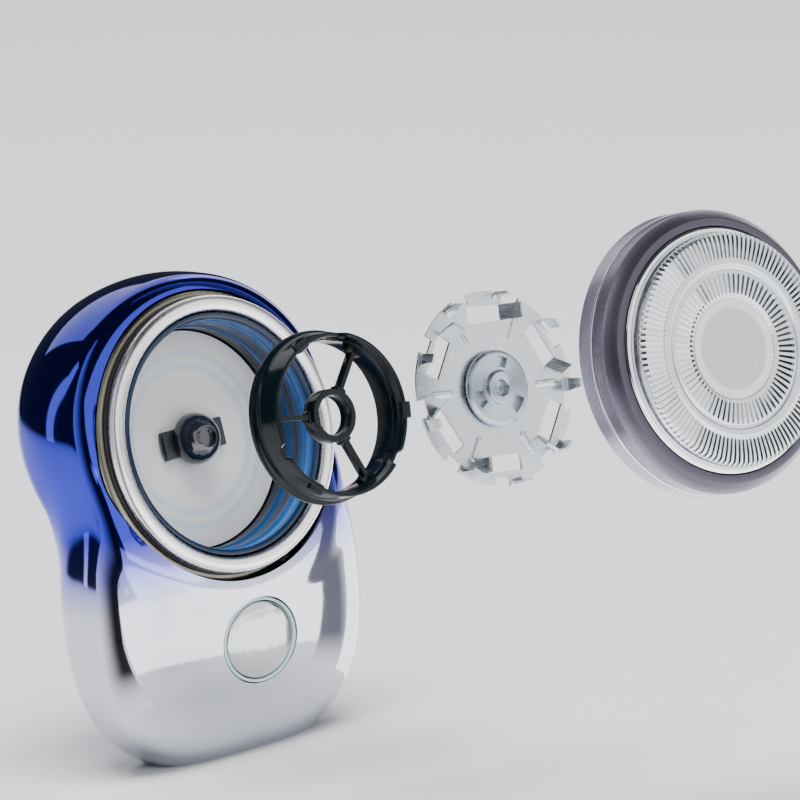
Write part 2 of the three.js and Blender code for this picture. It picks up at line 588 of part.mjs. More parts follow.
function cutterDisc() {
  const disc = rod(CUTTER_RADIUS, 0, CUTTER_THICKNESS, LATHE_FINE);
  const tall = CUTTER_THICKNESS + 2;
  const windows = around(WINDOWS, WINDOW_PHASE, (angle) => spun(WINDOW_WIDTH, WINDOW_LENGTH, tall,
    WINDOW_CIRCLE, -CUT_OVER, angle));
  const grooves = around(WINDOWS, WINDOW_PHASE - 180 / WINDOWS, (angle) => spun(GROOVE_LENGTH, GROOVE_WIDTH,
    GROOVE_DEPTH + CUT_OVER, GROOVE_CIRCLE, CUTTER_THICKNESS - GROOVE_DEPTH, angle));
  const notches = around(PRONGS, RIM_NOTCH_PHASE, (angle) => spun(RIM_NOTCH_DEPTH * 2, RIM_NOTCH, tall,
    CUTTER_RADIUS, -CUT_OVER, angle));
  const bore = rod(DRUM_RADIUS - DRUM_WALL, -1, tall, LATHE_SMALL + 4);
  const tabs = around(WINDOWS, WINDOW_PHASE, (angle) => {
    const tab = new THREE.BoxGeometry(WINDOW_WIDTH, CUTTER_THICKNESS, TAB_HEIGHT / Math.cos(rad(TAB_LEAN)));
    tab.translate(0, 0, TAB_HEIGHT / 2).rotateX(rad(TAB_LEAN)).translate(WINDOW_CIRCLE, -WINDOW_LENGTH / 2, 0.1);
    return solid(tab.rotateZ(rad(angle)));
  });
  const stemRadius = CUTTER_RADIUS - RIM_NOTCH_DEPTH / 2;
  const prongs = around(PRONGS, PRONG_PHASE, (angle) => spun(PRONG_THICKNESS, PRONG_WIDTH, PRONG_HEIGHT,
    stemRadius, 0.1, angle));
  return joined([disc.subtract(joined([...windows, ...grooves, ...notches, bore])), ...tabs, ...prongs]);
}

function cutterHub() {
  const top = CUTTER_THICKNESS + AIR + DRUM_HEIGHT;
  const bottom = CUTTER_THICKNESS + AIR;
  const drum = turned([[0, bottom], [DRUM_RADIUS, bottom], [DRUM_RADIUS, top - 0.3], [DRUM_RADIUS - 0.3, top],
    [BOSS_RADIUS, top], [BOSS_RADIUS, top + BOSS_HEIGHT], [0, top + BOSS_HEIGHT]], LATHE_PLAIN);
  const windows = around(DRUM_WINDOWS, DRUM_WINDOW_PHASE, (angle) => spun(DRUM_WINDOW.length, DRUM_WINDOW.width,
    DRUM_HEIGHT + 2 * CUT_OVER, DRUM_WINDOW.circle, bottom - CUT_OVER, angle));
  const bore = rod(BOSS_BORE, top - DRUM_HEIGHT / 2, top + 2);
  const stem = rod(STEM_RADIUS, -STEM_LENGTH, bottom + 0.2, LATHE_SMALL);
  const key = rod(KEY_RADIUS, -STEM_LENGTH - KEY_LENGTH, -STEM_LENGTH + 0.2, 6);
  return joined([drum, stem, key]).subtract(joined([...windows, bore]));
}

const cutterBush = () => tube(STEM_RADIUS + FIT / 2, HUB_BORE - FIT / 2, -BUSH_LENGTH - 0.9, -0.9, LATHE_SMALL);

// ---------------------------------------------------------------- head cap

const capInner = () => HOLDER_RADIUS + FIT;

const capRearRing = () => turned([[capInner(), 0], [CAP_RADIUS - 0.3, 0], [CAP_RADIUS, 0.3],
  [CAP_RADIUS, CAP_SPLIT], [capInner(), CAP_SPLIT]], LATHE_FINE);

const capLineRing = () => tube(capInner(), CAP_RADIUS, CAP_SPLIT + FIT / 2, CAP_SPLIT + FIT / 2 + CAP_LINE, LATHE_FINE);

function capFrontRing() {
  const bottom = CAP_SPLIT + CAP_LINE + FIT;
  return turned([[capInner(), bottom], [CAP_RADIUS, bottom], [CAP_RADIUS, CAP_WALL_LENGTH],
    [TRIM_RADIUS + CAP_RIM, CAP_RIM_TOP - 0.5], [TRIM_RADIUS + FIT / 2, CAP_RIM_TOP - 0.4],
    [TRIM_RADIUS + FIT / 2, CAP_RIM_TOP - TRIM_HEIGHT - FIT], [capInner(), CAP_RIM_TOP - TRIM_HEIGHT - FIT]], LATHE_FINE);
}

function capTrimRing() {
  const inner = NET_RADIUS + FIT;
  const middle = (inner + TRIM_RADIUS) / 2;
  const half = (TRIM_RADIUS - inner) / 2;
  return turned([[inner, CAP_RIM_TOP - TRIM_HEIGHT], [TRIM_RADIUS, CAP_RIM_TOP - TRIM_HEIGHT],
    ...arc(middle, CAP_RIM_TOP - half, half, 0, 180, 4)], LATHE_FINE);
}

// A thin pressed foil: a skirt, two cutting tracks with a groove between them, and a sunk middle for the disc
function bladeNet() {
  const [top, thin, half] = [NET_TOP, NET_THICKNESS, TRACK_GROOVE_WIDTH / 2];
  const edge = 0.5;
  const seat = DISC_RADIUS + FIT;
  const sunk = top - DISC_THICKNESS;
  const outside = [[NET_RADIUS, NET_BOTTOM], [NET_RADIUS, top - edge], [NET_RADIUS - edge, top],
    [TRACK_GROOVE + half, top], [TRACK_GROOVE, top - TRACK_GROOVE_DEPTH], [TRACK_GROOVE - half, top],
    [seat + 0.3, top], [seat, sunk], [0, sunk]];
  const inside = [[0, sunk - thin], [seat + 0.3, sunk - thin], [seat + 0.3 + thin, top - thin],
    [TRACK_GROOVE - half, top - thin], [TRACK_GROOVE, top - TRACK_GROOVE_DEPTH - thin],
    [TRACK_GROOVE + half, top - thin], [NET_RADIUS - edge - thin / 2, top - thin],
    [NET_RADIUS - thin, top - edge - thin / 2], [NET_RADIUS - thin, NET_BOTTOM]];
  const points = [...outside, ...inside, outside[0]].map(([r, z]) => new THREE.Vector2(r, z));
  const foil = solid(new THREE.LatheGeometry(points, LATHE_FINE).rotateX(Math.PI / 2));
  const slot = (size) => (angle) => spun(size.to - size.from, size.width, thin + 2,
    (size.from + size.to) / 2, top - thin - 1, angle);
  return foil.subtract(joined([...around(OUTER_SLOTS, 0, slot(OUTER_SLOT)), ...around(INNER_SLOTS, 0, slot(INNER_SLOT))]));
}

function centreDisc() {
  const bottom = NET_TOP - DISC_THICKNESS + FIT / 2;
  const top = bottom + DISC_THICKNESS;
  return turned([[0, bottom], [DISC_RADIUS, bottom], [DISC_RADIUS, top], [DISC_RADIUS - 0.7, top],
    [DISC_RADIUS - 1, top - 0.2], [0, top - 0.2]], LATHE_PLAIN);
}

function capHolder() {
  return tube(HOLDER_RADIUS - HOLDER_WALL, HOLDER_RADIUS, -HOLDER_SPIGOT, NET_BOTTOM - FIT, LATHE_FINE);
}

// ---------------------------------------------------------------- button and electronics

function buttonCap() {
  return widened(turned([[0, -BUTTON_THICKNESS], [BUTTON_RADIUS, -BUTTON_THICKNESS], [BUTTON_RADIUS, 0],
    [BUTTON_RADIUS - BUTTON_EASE, BUTTON_CROWN * 0.6], [BUTTON_RADIUS / 2, BUTTON_CROWN], [0, BUTTON_CROWN]],
  LATHE_FINE));
}

// From the button's underside to just above the switch
function buttonStem() {
  const front = -BUTTON_THICKNESS - FIT / 2;
  const reach = BOARD.y - BUTTON_Y - BOARD.thickness / 2 - SWITCH.height - SWITCH.plungerHeight;
  return rod(BUTTON_STEM, -reach + BUTTON_TRAVEL + FIT, front, 16);
}

const lightRing = () => widened(tube(BUTTON_RADIUS + FIT, BUTTON_RADIUS + FIT + LIGHT_RING_WALL,
  -LIGHT_RING_LENGTH, LIGHT_RING_PROUD, LATHE_FINE));

const buttonMembrane = () => tube(BUTTON_STEM + FIT, MEMBRANE_RADIUS,
  -LIGHT_RING_LENGTH - AIR - MEMBRANE_THICKNESS, -LIGHT_RING_LENGTH - AIR, LATHE_PLAIN);

function circuitBoard() {
  const board = block(BOARD.width, BOARD.thickness, BOARD.height, 0, BOARD.y, BOARD.z);
  const face = BOARD.y - BOARD.thickness / 2;
  const sunk = 0.05;
  const driver = block(DRIVER_CHIP.side, DRIVER_CHIP.height, DRIVER_CHIP.side, DRIVER_CHIP.x,
    face - DRIVER_CHIP.height / 2 + sunk, DRIVER_CHIP.z);
  const small = SMALL_CHIP.levels.map((z) => block(SMALL_CHIP.width, SMALL_CHIP.height, SMALL_CHIP.length,
    SMALL_CHIP.x, face - SMALL_CHIP.height / 2 + sunk, z));
  return joined([board, driver, ...small]);
}

function tactSwitch() {
  const face = BOARD.y - BOARD.thickness / 2 - FIT / 2;
  const body = block(SWITCH.side, SWITCH.height, SWITCH.side, 0, face - SWITCH.height / 2, BUTTON_Z);
  const post = rod(SWITCH.plunger, 0, SWITCH.plungerHeight + 0.2, 12).rotate(90, 0, 0);
  return body.add(post.translate(0, face - SWITCH.height + 0.2, BUTTON_Z));
}

function chassis() {
  const plate = block(CHASSIS.width, CHASSIS.thickness, CHASSIS.height, 0, CHASSIS.y, CHASSIS.z);
  const window = block(CHASSIS.width / 2, CHASSIS.thickness + 2, CHASSIS.height / 2, 0, CHASSIS.y, CHASSIS.z);
  const holes = [-1, 1].map((side) => rod(SCREW_RADIUS + FIT, -2, 2, 12).rotate(90, 0, 0)
    .translate(side * CHASSIS_SCREW.x, CHASSIS.y, CHASSIS_SCREW.z));
  return plate.subtract(joined([window, ...holes]));
}

const battery = () => solid(roundedBar(BATTERY.width, BATTERY.thickness, BATTERY.corner, BATTERY.height)
  .translate(0, BATTERY.y, BATTERY.z - BATTERY.height / 2));

// A receptacle whose long shell stands on the board and ends in the shell's back wall
function usbPort() {
  const [w, h, wall] = [PORT.width, PORT.height, PORT.wall];
  const length = PORT.mouth - BOARD.y - BOARD.thickness / 2 - AIR;
  const shell = solid(roundedBar(w, h, h / 2, length));
  const hollow = solid(roundedBar(w - 2 * wall, h - 2 * wall, h / 2 - wall, PORT.depth + CUT_OVER)
    .translate(0, 0, length - PORT.depth));
  const tongue = block(w * 0.68, PORT.tongue, PORT.depth, 0, 0, length - PORT.depth / 2 - 1);
  return shell.subtract(hollow).add(tongue).transform(new THREE.Matrix4()
    .makeRotationX(-Math.PI / 2).setPosition(0, PORT.mouth - length, PORT.z).toArray());
}

// Out of the battery's lower edge, under the chassis and up to the back of the board
function batteryLead(x) {
  const bottom = BATTERY.z - BATTERY.height / 2;
  const back = BOARD.y + BOARD.thickness / 2;
  return wire([[x, BATTERY.y, bottom - AIR], [x, BATTERY.y - 1.2, (bottom + LEAD.low) / 2],
    [x, CHASSIS.y + 1, LEAD.low], [x, back + 2 * AIR, LEAD.low]], LEAD_RADIUS, 12);
}

// ---------------------------------------------------------------- assembly

function addBody(root) {
  part('body_shell', bodyShell(), PLATED_BLUE, root);
  part('circuit_board', circuitBoard(), BOARD_GREEN, root);
  part('tact_switch', tactSwitch(), BLACK_PLASTIC, root);
  part('chassis', chassis(), WHITE_PLASTIC, root);
  part('battery', battery(), BATTERY_FOIL, root);
  part('usb_c_port', usbPort(), STEEL, root);
  const boardFace = BOARD.y - BOARD.thickness / 2 - FIT / 2;
  part('indicator_led', block(LED.width, LED.height, LED.width, LED.x, boardFace - LED.height / 2, LED.z), WHITE_PLASTIC, root);
  for (const [side, name] of [[-1, 'left'], [1, 'right']]) {
    const bolt = screw(2.6, 0).rotate(90, 0, 0);
    const seat = CHASSIS.y - CHASSIS.thickness / 2 - FIT / 2;
    part(`chassis_screw_${name}`, bolt.translate(side * CHASSIS_SCREW.x, seat, CHASSIS_SCREW.z), DARK_STEEL, root);
    part(`battery_lead_${name}`, batteryLead(side * LEAD.x), side < 0 ? RED_LEAD : BLACK_LEAD, root);
  }
}

function addHeadSeat(head) {
  part('head_collar', headCollar(), COLLAR_METAL, head);
  part('collar_gasket', tube(RING_BORE + FIT, GASKET_RADIUS, COLLAR_FRONT + FIT / 2, COLLAR_FRONT + GASKET_THICKNESS,
    LATHE_FINE), BLACK_RUBBER, head);
  part('chrome_ring', chromeRing(), CHROME, head);
  part('hair_chamber', hairChamber(), BLUE_PLASTIC, head);
  part('floor_plate', floorPlate(), PALE_PLASTIC, head);
  part('chamber_o_ring', roundRing((CHAMBER_RADIUS + COLLAR_BORE) / 2, COLLAR_BACK + 2, O_RING, LATHE_PLAIN), BLACK_RUBBER, head);
  part('shaft_seal', shaftSeal(), BLACK_RUBBER, head);
  part('motor_bracket', motorBracket(), WHITE_PLASTIC, head);
  part('motor_can', motorCan(), DARK_STEEL, head);
  part('motor_front_bush', motorBush(MOTOR_FRONT + 0.6, MOTOR_FRONT - 1.4), COPPER, head);
  part('motor_end_cap', motorEndCap(), BLACK_PLASTIC, head);
  for (const [side, name] of [[-1, 'left'], [1, 'right']]) {
    const bolt = screw(BRACKET_THICKNESS + FIT, 0).rotate(0, 180, 0);
    const seat = BRACKET_FRONT - BRACKET_THICKNESS - FIT / 2;
    part(`motor_screw_${name}`, bolt.translate(side * MOTOR_SCREW_CIRCLE, 0, seat), DARK_STEEL, head);
    const z = MOTOR_BACK - END_CAP_THICKNESS + 0.2;
    part(`motor_terminal_${name}`, block(TERMINAL.width, TERMINAL.thickness, TERMINAL.length, side * TERMINAL.x, 0,
      z - TERMINAL.length / 2 + 0.8), COPPER, head);
  }
}

function addRotor(head) {
  part('motor_shaft', rod(SHAFT_RADIUS, MOTOR_BACK + 0.5, SHAFT_TOP, 12), STEEL, head);
  part('motor_armature', armature(), COPPER, head);
  part('drive_arm', driveArm(), SMOKE_PLASTIC, head);
  part('drive_dome', driveDome(), SMOKE_PLASTIC, head);
}

function addButton(root) {
  const group = new THREE.Group();
  group.rotation.x = Math.PI / 2 + rad(BUTTON_TILT);
  group.position.set(0, BUTTON_Y, BUTTON_Z);
  part('light_ring', lightRing(), TEAL_GLASS, group);
  part('button_membrane', buttonMembrane(), BLACK_RUBBER, group);
  part('button_cap', buttonCap(), BUTTON_STEEL, group);
  part('button_stem', buttonStem(), BLACK_PLASTIC, group);
  root.add(group);
}

function hung(head, distance) {
  const group = new THREE.Group();
  group.position.z = distance;
  head.add(group);
  return group;
}

function buildShaver() {
  const root = new THREE.Group();
  const head = new THREE.Group();
  head.rotation.x = Math.PI / 2 - rad(HEAD_TILT);
  head.position.set(0, RING_Y, HEAD_Z);
  root.add(head);
  addBody(root);
  addButton(root);
  addHeadSeat(head);
  addRotor(head);
  part('retaining_frame', retainingFrame(), BLACK_PLASTIC, hung(head, FRAME_OUT));
  const cutter = hung(head, CUTTER_OUT);
  part('cutter_disc', cutterDisc(), STEEL, cutter);
  part('cutter_hub', cutterHub(), STEEL, cutter);
  part('cutter_bush', cutterBush(), BLACK_PLASTIC, cutter);
  const cap = hung(head, CAP_OUT);
  part('cap_rear_ring', capRearRing(), MAUVE, cap);
  part('cap_line_ring', capLineRing(), CHROME, cap);
  part('cap_front_ring', capFrontRing(), MAUVE_DARK, cap);
  part('cap_trim_ring', capTrimRing(), CHROME, cap);
  part('blade_net', bladeNet(), NET_STEEL, cap);
  part('centre_disc', centreDisc(), DISC_GREY, cap);
  part('cap_holder', capHolder(), BLACK_PLASTIC, cap);
  return root;
}

export default buildShaver();
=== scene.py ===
"""Pocket rotary shaver, drawn apart along its head axis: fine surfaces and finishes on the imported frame."""

import json
import math

import bmesh
import bpy
import numpy as np
from bpy.props import FloatProperty, FloatVectorProperty, IntProperty, PointerProperty
from mathutils import Matrix, Vector


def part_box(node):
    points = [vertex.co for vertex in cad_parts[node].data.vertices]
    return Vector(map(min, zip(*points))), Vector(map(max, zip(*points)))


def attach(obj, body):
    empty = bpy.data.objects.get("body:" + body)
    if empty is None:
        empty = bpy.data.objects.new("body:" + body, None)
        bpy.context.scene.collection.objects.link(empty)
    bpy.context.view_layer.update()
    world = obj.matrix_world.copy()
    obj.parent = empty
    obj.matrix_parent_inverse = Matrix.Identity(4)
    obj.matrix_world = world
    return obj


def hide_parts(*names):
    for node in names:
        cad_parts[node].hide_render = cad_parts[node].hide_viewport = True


bl_info = {
    "name": "Pocket Rotary Shaver",
    "version": (1, 0, 0),
    "blender": (4, 5, 0),
    "location": "View3D > Sidebar > Shaver",
    "description": "Builds the surfaces, finishes and studio of a pocket rotary shaver",
    "category": "Object",
}

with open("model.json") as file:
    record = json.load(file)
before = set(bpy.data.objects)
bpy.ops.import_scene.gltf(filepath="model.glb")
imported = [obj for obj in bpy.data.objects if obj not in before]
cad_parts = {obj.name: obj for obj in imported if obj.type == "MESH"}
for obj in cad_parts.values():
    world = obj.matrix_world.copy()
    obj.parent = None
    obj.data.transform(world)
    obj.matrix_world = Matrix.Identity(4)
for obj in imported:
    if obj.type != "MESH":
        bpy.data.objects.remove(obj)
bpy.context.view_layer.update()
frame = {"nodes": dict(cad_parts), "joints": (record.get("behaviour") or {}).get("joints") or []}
JOINTS = {joint["name"]: joint for joint in frame["joints"]}
MM = 0.001
TAU = 2 * math.pi


# --- sizes and colours a user would change

def length(name, default, about):
    """A length property, with its default in millimetres."""
    return FloatProperty(name=name, description=about, default=default * MM, unit="LENGTH", precision=5)


def colour(name, default, about):
    return FloatVectorProperty(name=name, description=about, default=default, subtype="COLOR", min=0, max=1)


def power(name, default, about):
    return FloatProperty(name=name, description=about, default=default)


def angle(name, default, about):
    return FloatProperty(name=name, description=about, default=math.radians(default), subtype="ANGLE")


class ShaverShell(bpy.types.PropertyGroup):
    lower_z: length("Lower lobe height", 22.7, "Height of the lower lobe's middle")
    lower_y: length("Lower lobe depth place", -0.3, "How far the lower lobe's middle lies behind the base's")
    lower_width: length("Lower half width", 24.6, "Half the width of the lower lobe")
    lower_depth: length("Lower half depth", 10.2, "Half the depth of the lower lobe")
    lower_height: length("Lower half height", 25, "Half the height of the lower lobe")
    lower_plan: power("Plan power", 2.9, "Squareness of the lower lobe from above")
    lower_side: power("Side power", 2.5, "Squareness of the lower lobe from the side")
    upper_up: length("Upper lobe rise", 5, "How far the upper lobe's middle lies above the head axis")
    upper_back: length("Upper lobe setback", 11.8, "How far the upper lobe's middle lies behind the ring")
    upper_width: length("Upper half width", 23.6, "Half the width of the upper lobe")
    upper_depth: length("Upper half depth", 16.4, "Half the depth of the upper lobe")
    upper_height: length("Upper half height", 19, "Half the height of the upper lobe")
    pod_radius: length("Pod radius", 22.6, "Radius of the round pod that carries the ring")
    pod_depth: length("Pod depth", 14, "How far the pod reaches back")
    face_setback: length("Face setback", 3.9, "How far the shell's front lies behind the ring's")
    edge_blend: length("Edge blend", 3, "Blend round the shell's front edge")
    pod_blend: length("Pod blend", 4, "Blend between the pod and the upper lobe")
    waist_blend: length("Waist blend", 5, "Blend between the two lobes")
    wall: length("Wall", 1.5, "Thickness of the shell")
    bore: length("Head bore", 21.1, "Radius of the shell's bore for the collar")


class ShaverHead(bpy.types.PropertyGroup):
    ring_radius: length("Ring radius", 20, "Outer radius of the polished ring")
    ring_bore: length("Ring bore", 17.65, "Inner radius of the polished ring")
    collar_radius: length("Collar radius", 20.9, "Outer radius of the dark collar")
    frame_out: length("Frame distance", 21.1, "How far the retaining frame hangs in front of the ring")
    cap_out: length("Cap distance", 106.4, "How far the head cap hangs in front of the ring")
    cap_radius: length("Cap radius", 20, "Outer radius of the head cap")
    net_radius: length("Net radius", 16.05, "Outer radius of the slotted net")
    outer_slots: IntProperty(name="Outer slots", description="Slots in the outer track", default=120)
    inner_slots: IntProperty(name="Inner slots", description="Slots in the inner track", default=72)


class ShaverColours(bpy.types.PropertyGroup):
    silver: colour("Silver", (0.60, 0.62, 0.68), "Plating of the lower lobe")
    lavender: colour("Lavender", (0.27, 0.27, 0.72), "Plating at the waist")
    blue: colour("Blue", (0.030, 0.038, 0.56), "Plating of the upper lobe")
    night: colour("Night blue", (0.020, 0.028, 0.40), "Plating at the top")
    mauve: colour("Mauve", (0.34, 0.30, 0.40), "Paint of the cap's rear ring")
    mauve_dark: colour("Dark mauve", (0.19, 0.165, 0.23), "Paint of the cap's front ring")
    chamber: colour("Chamber blue", (0.002, 0.045, 0.16), "Moulding of the hair chamber")


class ShaverStage(bpy.types.PropertyGroup):
    azimuth: angle("Azimuth", -39.3, "Camera's turn round the body")
    elevation: angle("Elevation", 12, "Camera's height angle")
    roll: angle("Roll", 6.5, "How far the body leans to the left in the picture")
    lens: FloatProperty(name="Lens", description="Focal length in millimetres", default=1200)
    view_width: length("View width", 114.1, "Width of what the camera sees at the ring")
    right_of_ring: length("Aim right", 24.8, "How far right of the ring the picture's middle lies")
    above_ring: length("Aim up", 4.75, "How far above the ring the picture's middle lies")
    floor_colour: colour("Floor", (0.80, 0.81, 0.83), "Colour of the floor")


# --- where things are

class Axis:
    """An origin with right, up and out directions; place() carries [right, up, out] arrays into the frame.

    stretch widens what is placed along each direction.
    """

    def __init__(self, origin, out, stretch=(1, 1, 1)):
        self.origin = np.array(origin, float)
        self.out = np.array(out, float) / np.linalg.norm(out)
        self.right = np.array([1.0, 0.0, 0.0])
        self.up = np.cross(self.out, self.right)
        self.stretch = np.array(stretch, float)

    def place(self, points):
        return self.origin + points * self.stretch @ np.stack([self.right, self.up, self.out])

    def along(self, distance):
        return Axis(self.origin + self.out * distance, self.out)


HEAD = Axis(JOINTS["rotor_spin"]["pos_m"], JOINTS["rotor_spin"]["axis"])
CUTTER = Axis(JOINTS["cutter_spin"]["pos_m"], JOINTS["cutter_spin"]["axis"])
BUTTON_RADIUS, LIGHT_GAP, LIGHT_WIDTH = 5.5, 0.2, 0.4
BUTTON_BORE = BUTTON_RADIUS + LIGHT_GAP + LIGHT_WIDTH + 0.2
BUTTON = Axis([0, -10.1 * MM, 16.5 * MM], -np.array(JOINTS["button_press"]["axis"]), stretch=(1.1, 1, 1))

SPOKE_PHASE, NOTCH_TURN = np.radians([170.5, 25])
WINDOW_PHASE, NOTCH_PHASE, PRONG_PHASE, DRUM_PHASE = np.radians([22.5, 20, 30, 72])
WINDOWS, PRONGS, CUTTER_THICKNESS = 6, 9, 0.4


# --- surfaces from arrays

def rounded(corners, radius, closed=True, steps=5):
    """A profile with its corners eased.

    Each becomes a quadratic curve between points a radius away along its two sides.
    """
    p = np.array(corners, float)
    before, after = np.roll(p, 1, 0), np.roll(p, -1, 0)
    radii = np.broadcast_to(np.array(radius, float), len(p)).copy()
    if not closed:
        radii[0] = radii[-1] = 0
    gap_before = np.linalg.norm(before - p, axis=1, keepdims=True)
    gap_after = np.linalg.norm(after - p, axis=1, keepdims=True)
    a = p + (before - p) / gap_before * np.minimum(radii[:, None], 0.45 * gap_before)
    b = p + (after - p) / gap_after * np.minimum(radii[:, None], 0.45 * gap_after)
    t = np.linspace(0, 1, steps)[None, :, None]
    curve = (1 - t) ** 2 * a[:, None] + 2 * t * (1 - t) * p[:, None] + t ** 2 * b[:, None]
    flat = curve.reshape(-1, 2)
    keep = np.r_[True, np.linalg.norm(np.diff(flat, axis=0), axis=1) > 1e-9]
    return flat[keep]


def revolved(profile, steps=192, wobble=None):
    """Radius and distance pairs turned round the axis: x = r cos a, y = r sin a, z = distance.

    wobble may then move the points by their angle.
    """
    a = np.arange(steps) * TAU / steps
    r, z = profile[:, 0][:, None], profile[:, 1][:, None]
    grid = np.stack([r * np.cos(a), r * np.sin(a), np.broadcast_to(z, (len(profile), steps))], -1)
    if wobble is not None:
        grid = wobble(grid, a)
    return grid


def quads(rows, columns, wrap_rows, wrap_columns, start):
    """Corner numbers of the cells of a grid whose last row or column may join its first."""
    i = np.arange(rows if wrap_rows else rows - 1)[:, None]
    j = np.arange(columns if wrap_columns else columns - 1)[None, :]
    i2, j2 = (i + 1) % rows, (j + 1) % columns
    cells = np.stack([i * columns + j, i * columns + j2, i2 * columns + j2, i2 * columns + j], -1)
    return cells.reshape(-1, 4) + start


def mesh_object(name, grids, sharp=35, outward=True):
    """One mesh from several grids of points, each given as (points, wrap rows, wrap columns)."""
    points, faces, start = [], [], 0
    for grid, wrap_rows, wrap_columns in grids:
        rows, columns = grid.shape[:2]
        points.append(grid.reshape(-1, 3))
        faces.append(quads(rows, columns, wrap_rows, wrap_columns, start))
        start += rows * columns
    piece = raw_object(name, np.concatenate(points), np.concatenate(faces))
    return finish_mesh(piece, sharp, outward)


def raw_object(name, points, faces):
    mesh = bpy.data.meshes.new(name)
    mesh.from_pydata(points.tolist(), [], faces.tolist())
    piece = bpy.data.objects.new(name, mesh)
    link(piece)
    return piece


def link(item):
    bpy.context.scene.collection.objects.link(item)


def finish_mesh(piece, sharp=35, outward=True):
    """Closes seams and poles, turns faces outwards, and shades smooth up to an edge angle."""
    work = bmesh.new()
    work.from_mesh(piece.data)
    bmesh.ops.remove_doubles(work, verts=work.verts, dist=1e-7)
    bmesh.ops.dissolve_degenerate(work, edges=work.edges, dist=1e-8)
    if outward:
        bmesh.ops.recalc_face_normals(work, faces=work.faces)
    work.to_mesh(piece.data)
    work.free()
    piece.data.shade_smooth()
    piece.data.set_sharp_from_angle(angle=math.radians(sharp))
    return piece


def apply_modifiers(piece):
    """Keeps the modified mesh and drops the modifiers."""
    graph = bpy.context.evaluated_depsgraph_get()
    done = bpy.data.meshes.new_from_object(piece.evaluated_get(graph))
    piece.modifiers.clear()
    piece.data = done


def cut(piece, tools):
    """Takes closed tools away from a closed piece, one after the other."""
    for tool in tools:
        step = piece.modifiers.new("cut", "BOOLEAN")
        step.operation = "DIFFERENCE"
        step.object = tool
        step.solver = "MANIFOLD"
        apply_modifiers(piece)
        bpy.data.objects.remove(tool)


def eased(corners, ease, closed=True):
    """A profile given in millimetres, eased and brought to metres."""
    return rounded(np.array(corners) * MM, ease * MM, closed)


def ring(name, axis, corners, ease, steps=256, sharp=35, closed=True):
    """A closed profile of [radius, distance] pairs in millimetres, eased and turned round an axis."""
    grid = axis.place(revolved(eased(corners, ease, closed), steps))
    return mesh_object(name, [(grid, closed, True)], sharp)


def disc(name, axis, corners, ease, steps=128, sharp=35):
    """An open profile that starts and ends on the axis, eased and turned into a closed body."""
    return ring(name, axis, corners, ease, steps, sharp, closed=False)


def capped(grid):
    """A grid with its first and last rows drawn in to their middles."""
    first, last = (np.broadcast_to(grid[i].mean(0), (1, *grid.shape[1:])) for i in (0, -1))
    return np.concatenate([first, grid, last])


def swung(grid, turn):
    """Points turned about the out direction: x cos t - y sin t, and x sin t + y cos t."""
    c, s = math.cos(turn), math.sin(turn)
    x, y = grid[..., 0], grid[..., 1]
    return np.concatenate([np.stack([x * c - y * s, x * s + y * c], -1), grid[..., 2:]], -1)


def rectangle(width, height, ease):
    corners = np.array([[-1, -1], [1, -1], [1, 1], [-1, 1]])
    return rounded(corners * [width / 2, height / 2], ease)


def bar_grid(size, centre, turn=0.0, ease=0.12):
    """A bar with eased long edges: a rounded rectangle carried along its length, closed at both ends.

    size is [length, width, height] and centre its middle, in millimetres; turn is about the out direction.
    """
    half = np.array(size) / 2
    outline = rectangle(size[1], size[2], ease)
    along = np.array([-1, -1, -1 + ease / half[0], 1 - ease / half[0], 1, 1]) * half[0]
    scale = np.array([0, 1 - ease / half[2], 1, 1, 1 - ease / half[2], 0])[:, None]
    y, z = outline[:, 0] * scale, outline[:, 1] * scale
    x = np.broadcast_to(along[:, None], y.shape)
    return swung(np.stack([x, y, z], -1) + centre, turn) * MM


def prism_grid(outline, bottom, top):
    """A closed outline in millimetres carried straight up, with its ends drawn to their middles."""
    rows = [np.column_stack([outline, np.full(len(outline), height)]) for height in (bottom, top)]
    return capped(np.stack(rows)) * MM


def give(piece, body, material, slot, *nodes):
    """Hangs a finished piece on its body with its finish and the nodes it stands for."""
    piece.data.materials.clear()
    piece.data.materials.append(material)
    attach(piece, body)
    if nodes:
        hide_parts(*nodes)


# --- finishes

def both_ways(operation):
    """An operator and its reflected form, each of which adds one Math node."""
    return (lambda self, other: self.step(operation, self, other),
            lambda self, other: self.step(operation, other, self))


class Value:
    """A number socket that can be added, multiplied and so on; each step adds its Math node."""

    __add__, __radd__ = both_ways("ADD")
    __sub__, __rsub__ = both_ways("SUBTRACT")
    __mul__, __rmul__ = both_ways("MULTIPLY")
    __truediv__, __rtruediv__ = both_ways("DIVIDE")

    def __init__(self, finish, socket):
        self.finish, self.socket = finish, socket

    def step(self, operation, a, b):
        return self.finish.value("ShaderNodeMath", {"operation": operation}, {0: a, 1: b})

    def sine(self):
        return self.finish.value("ShaderNodeMath", {"operation": "SINE"}, {0: self})


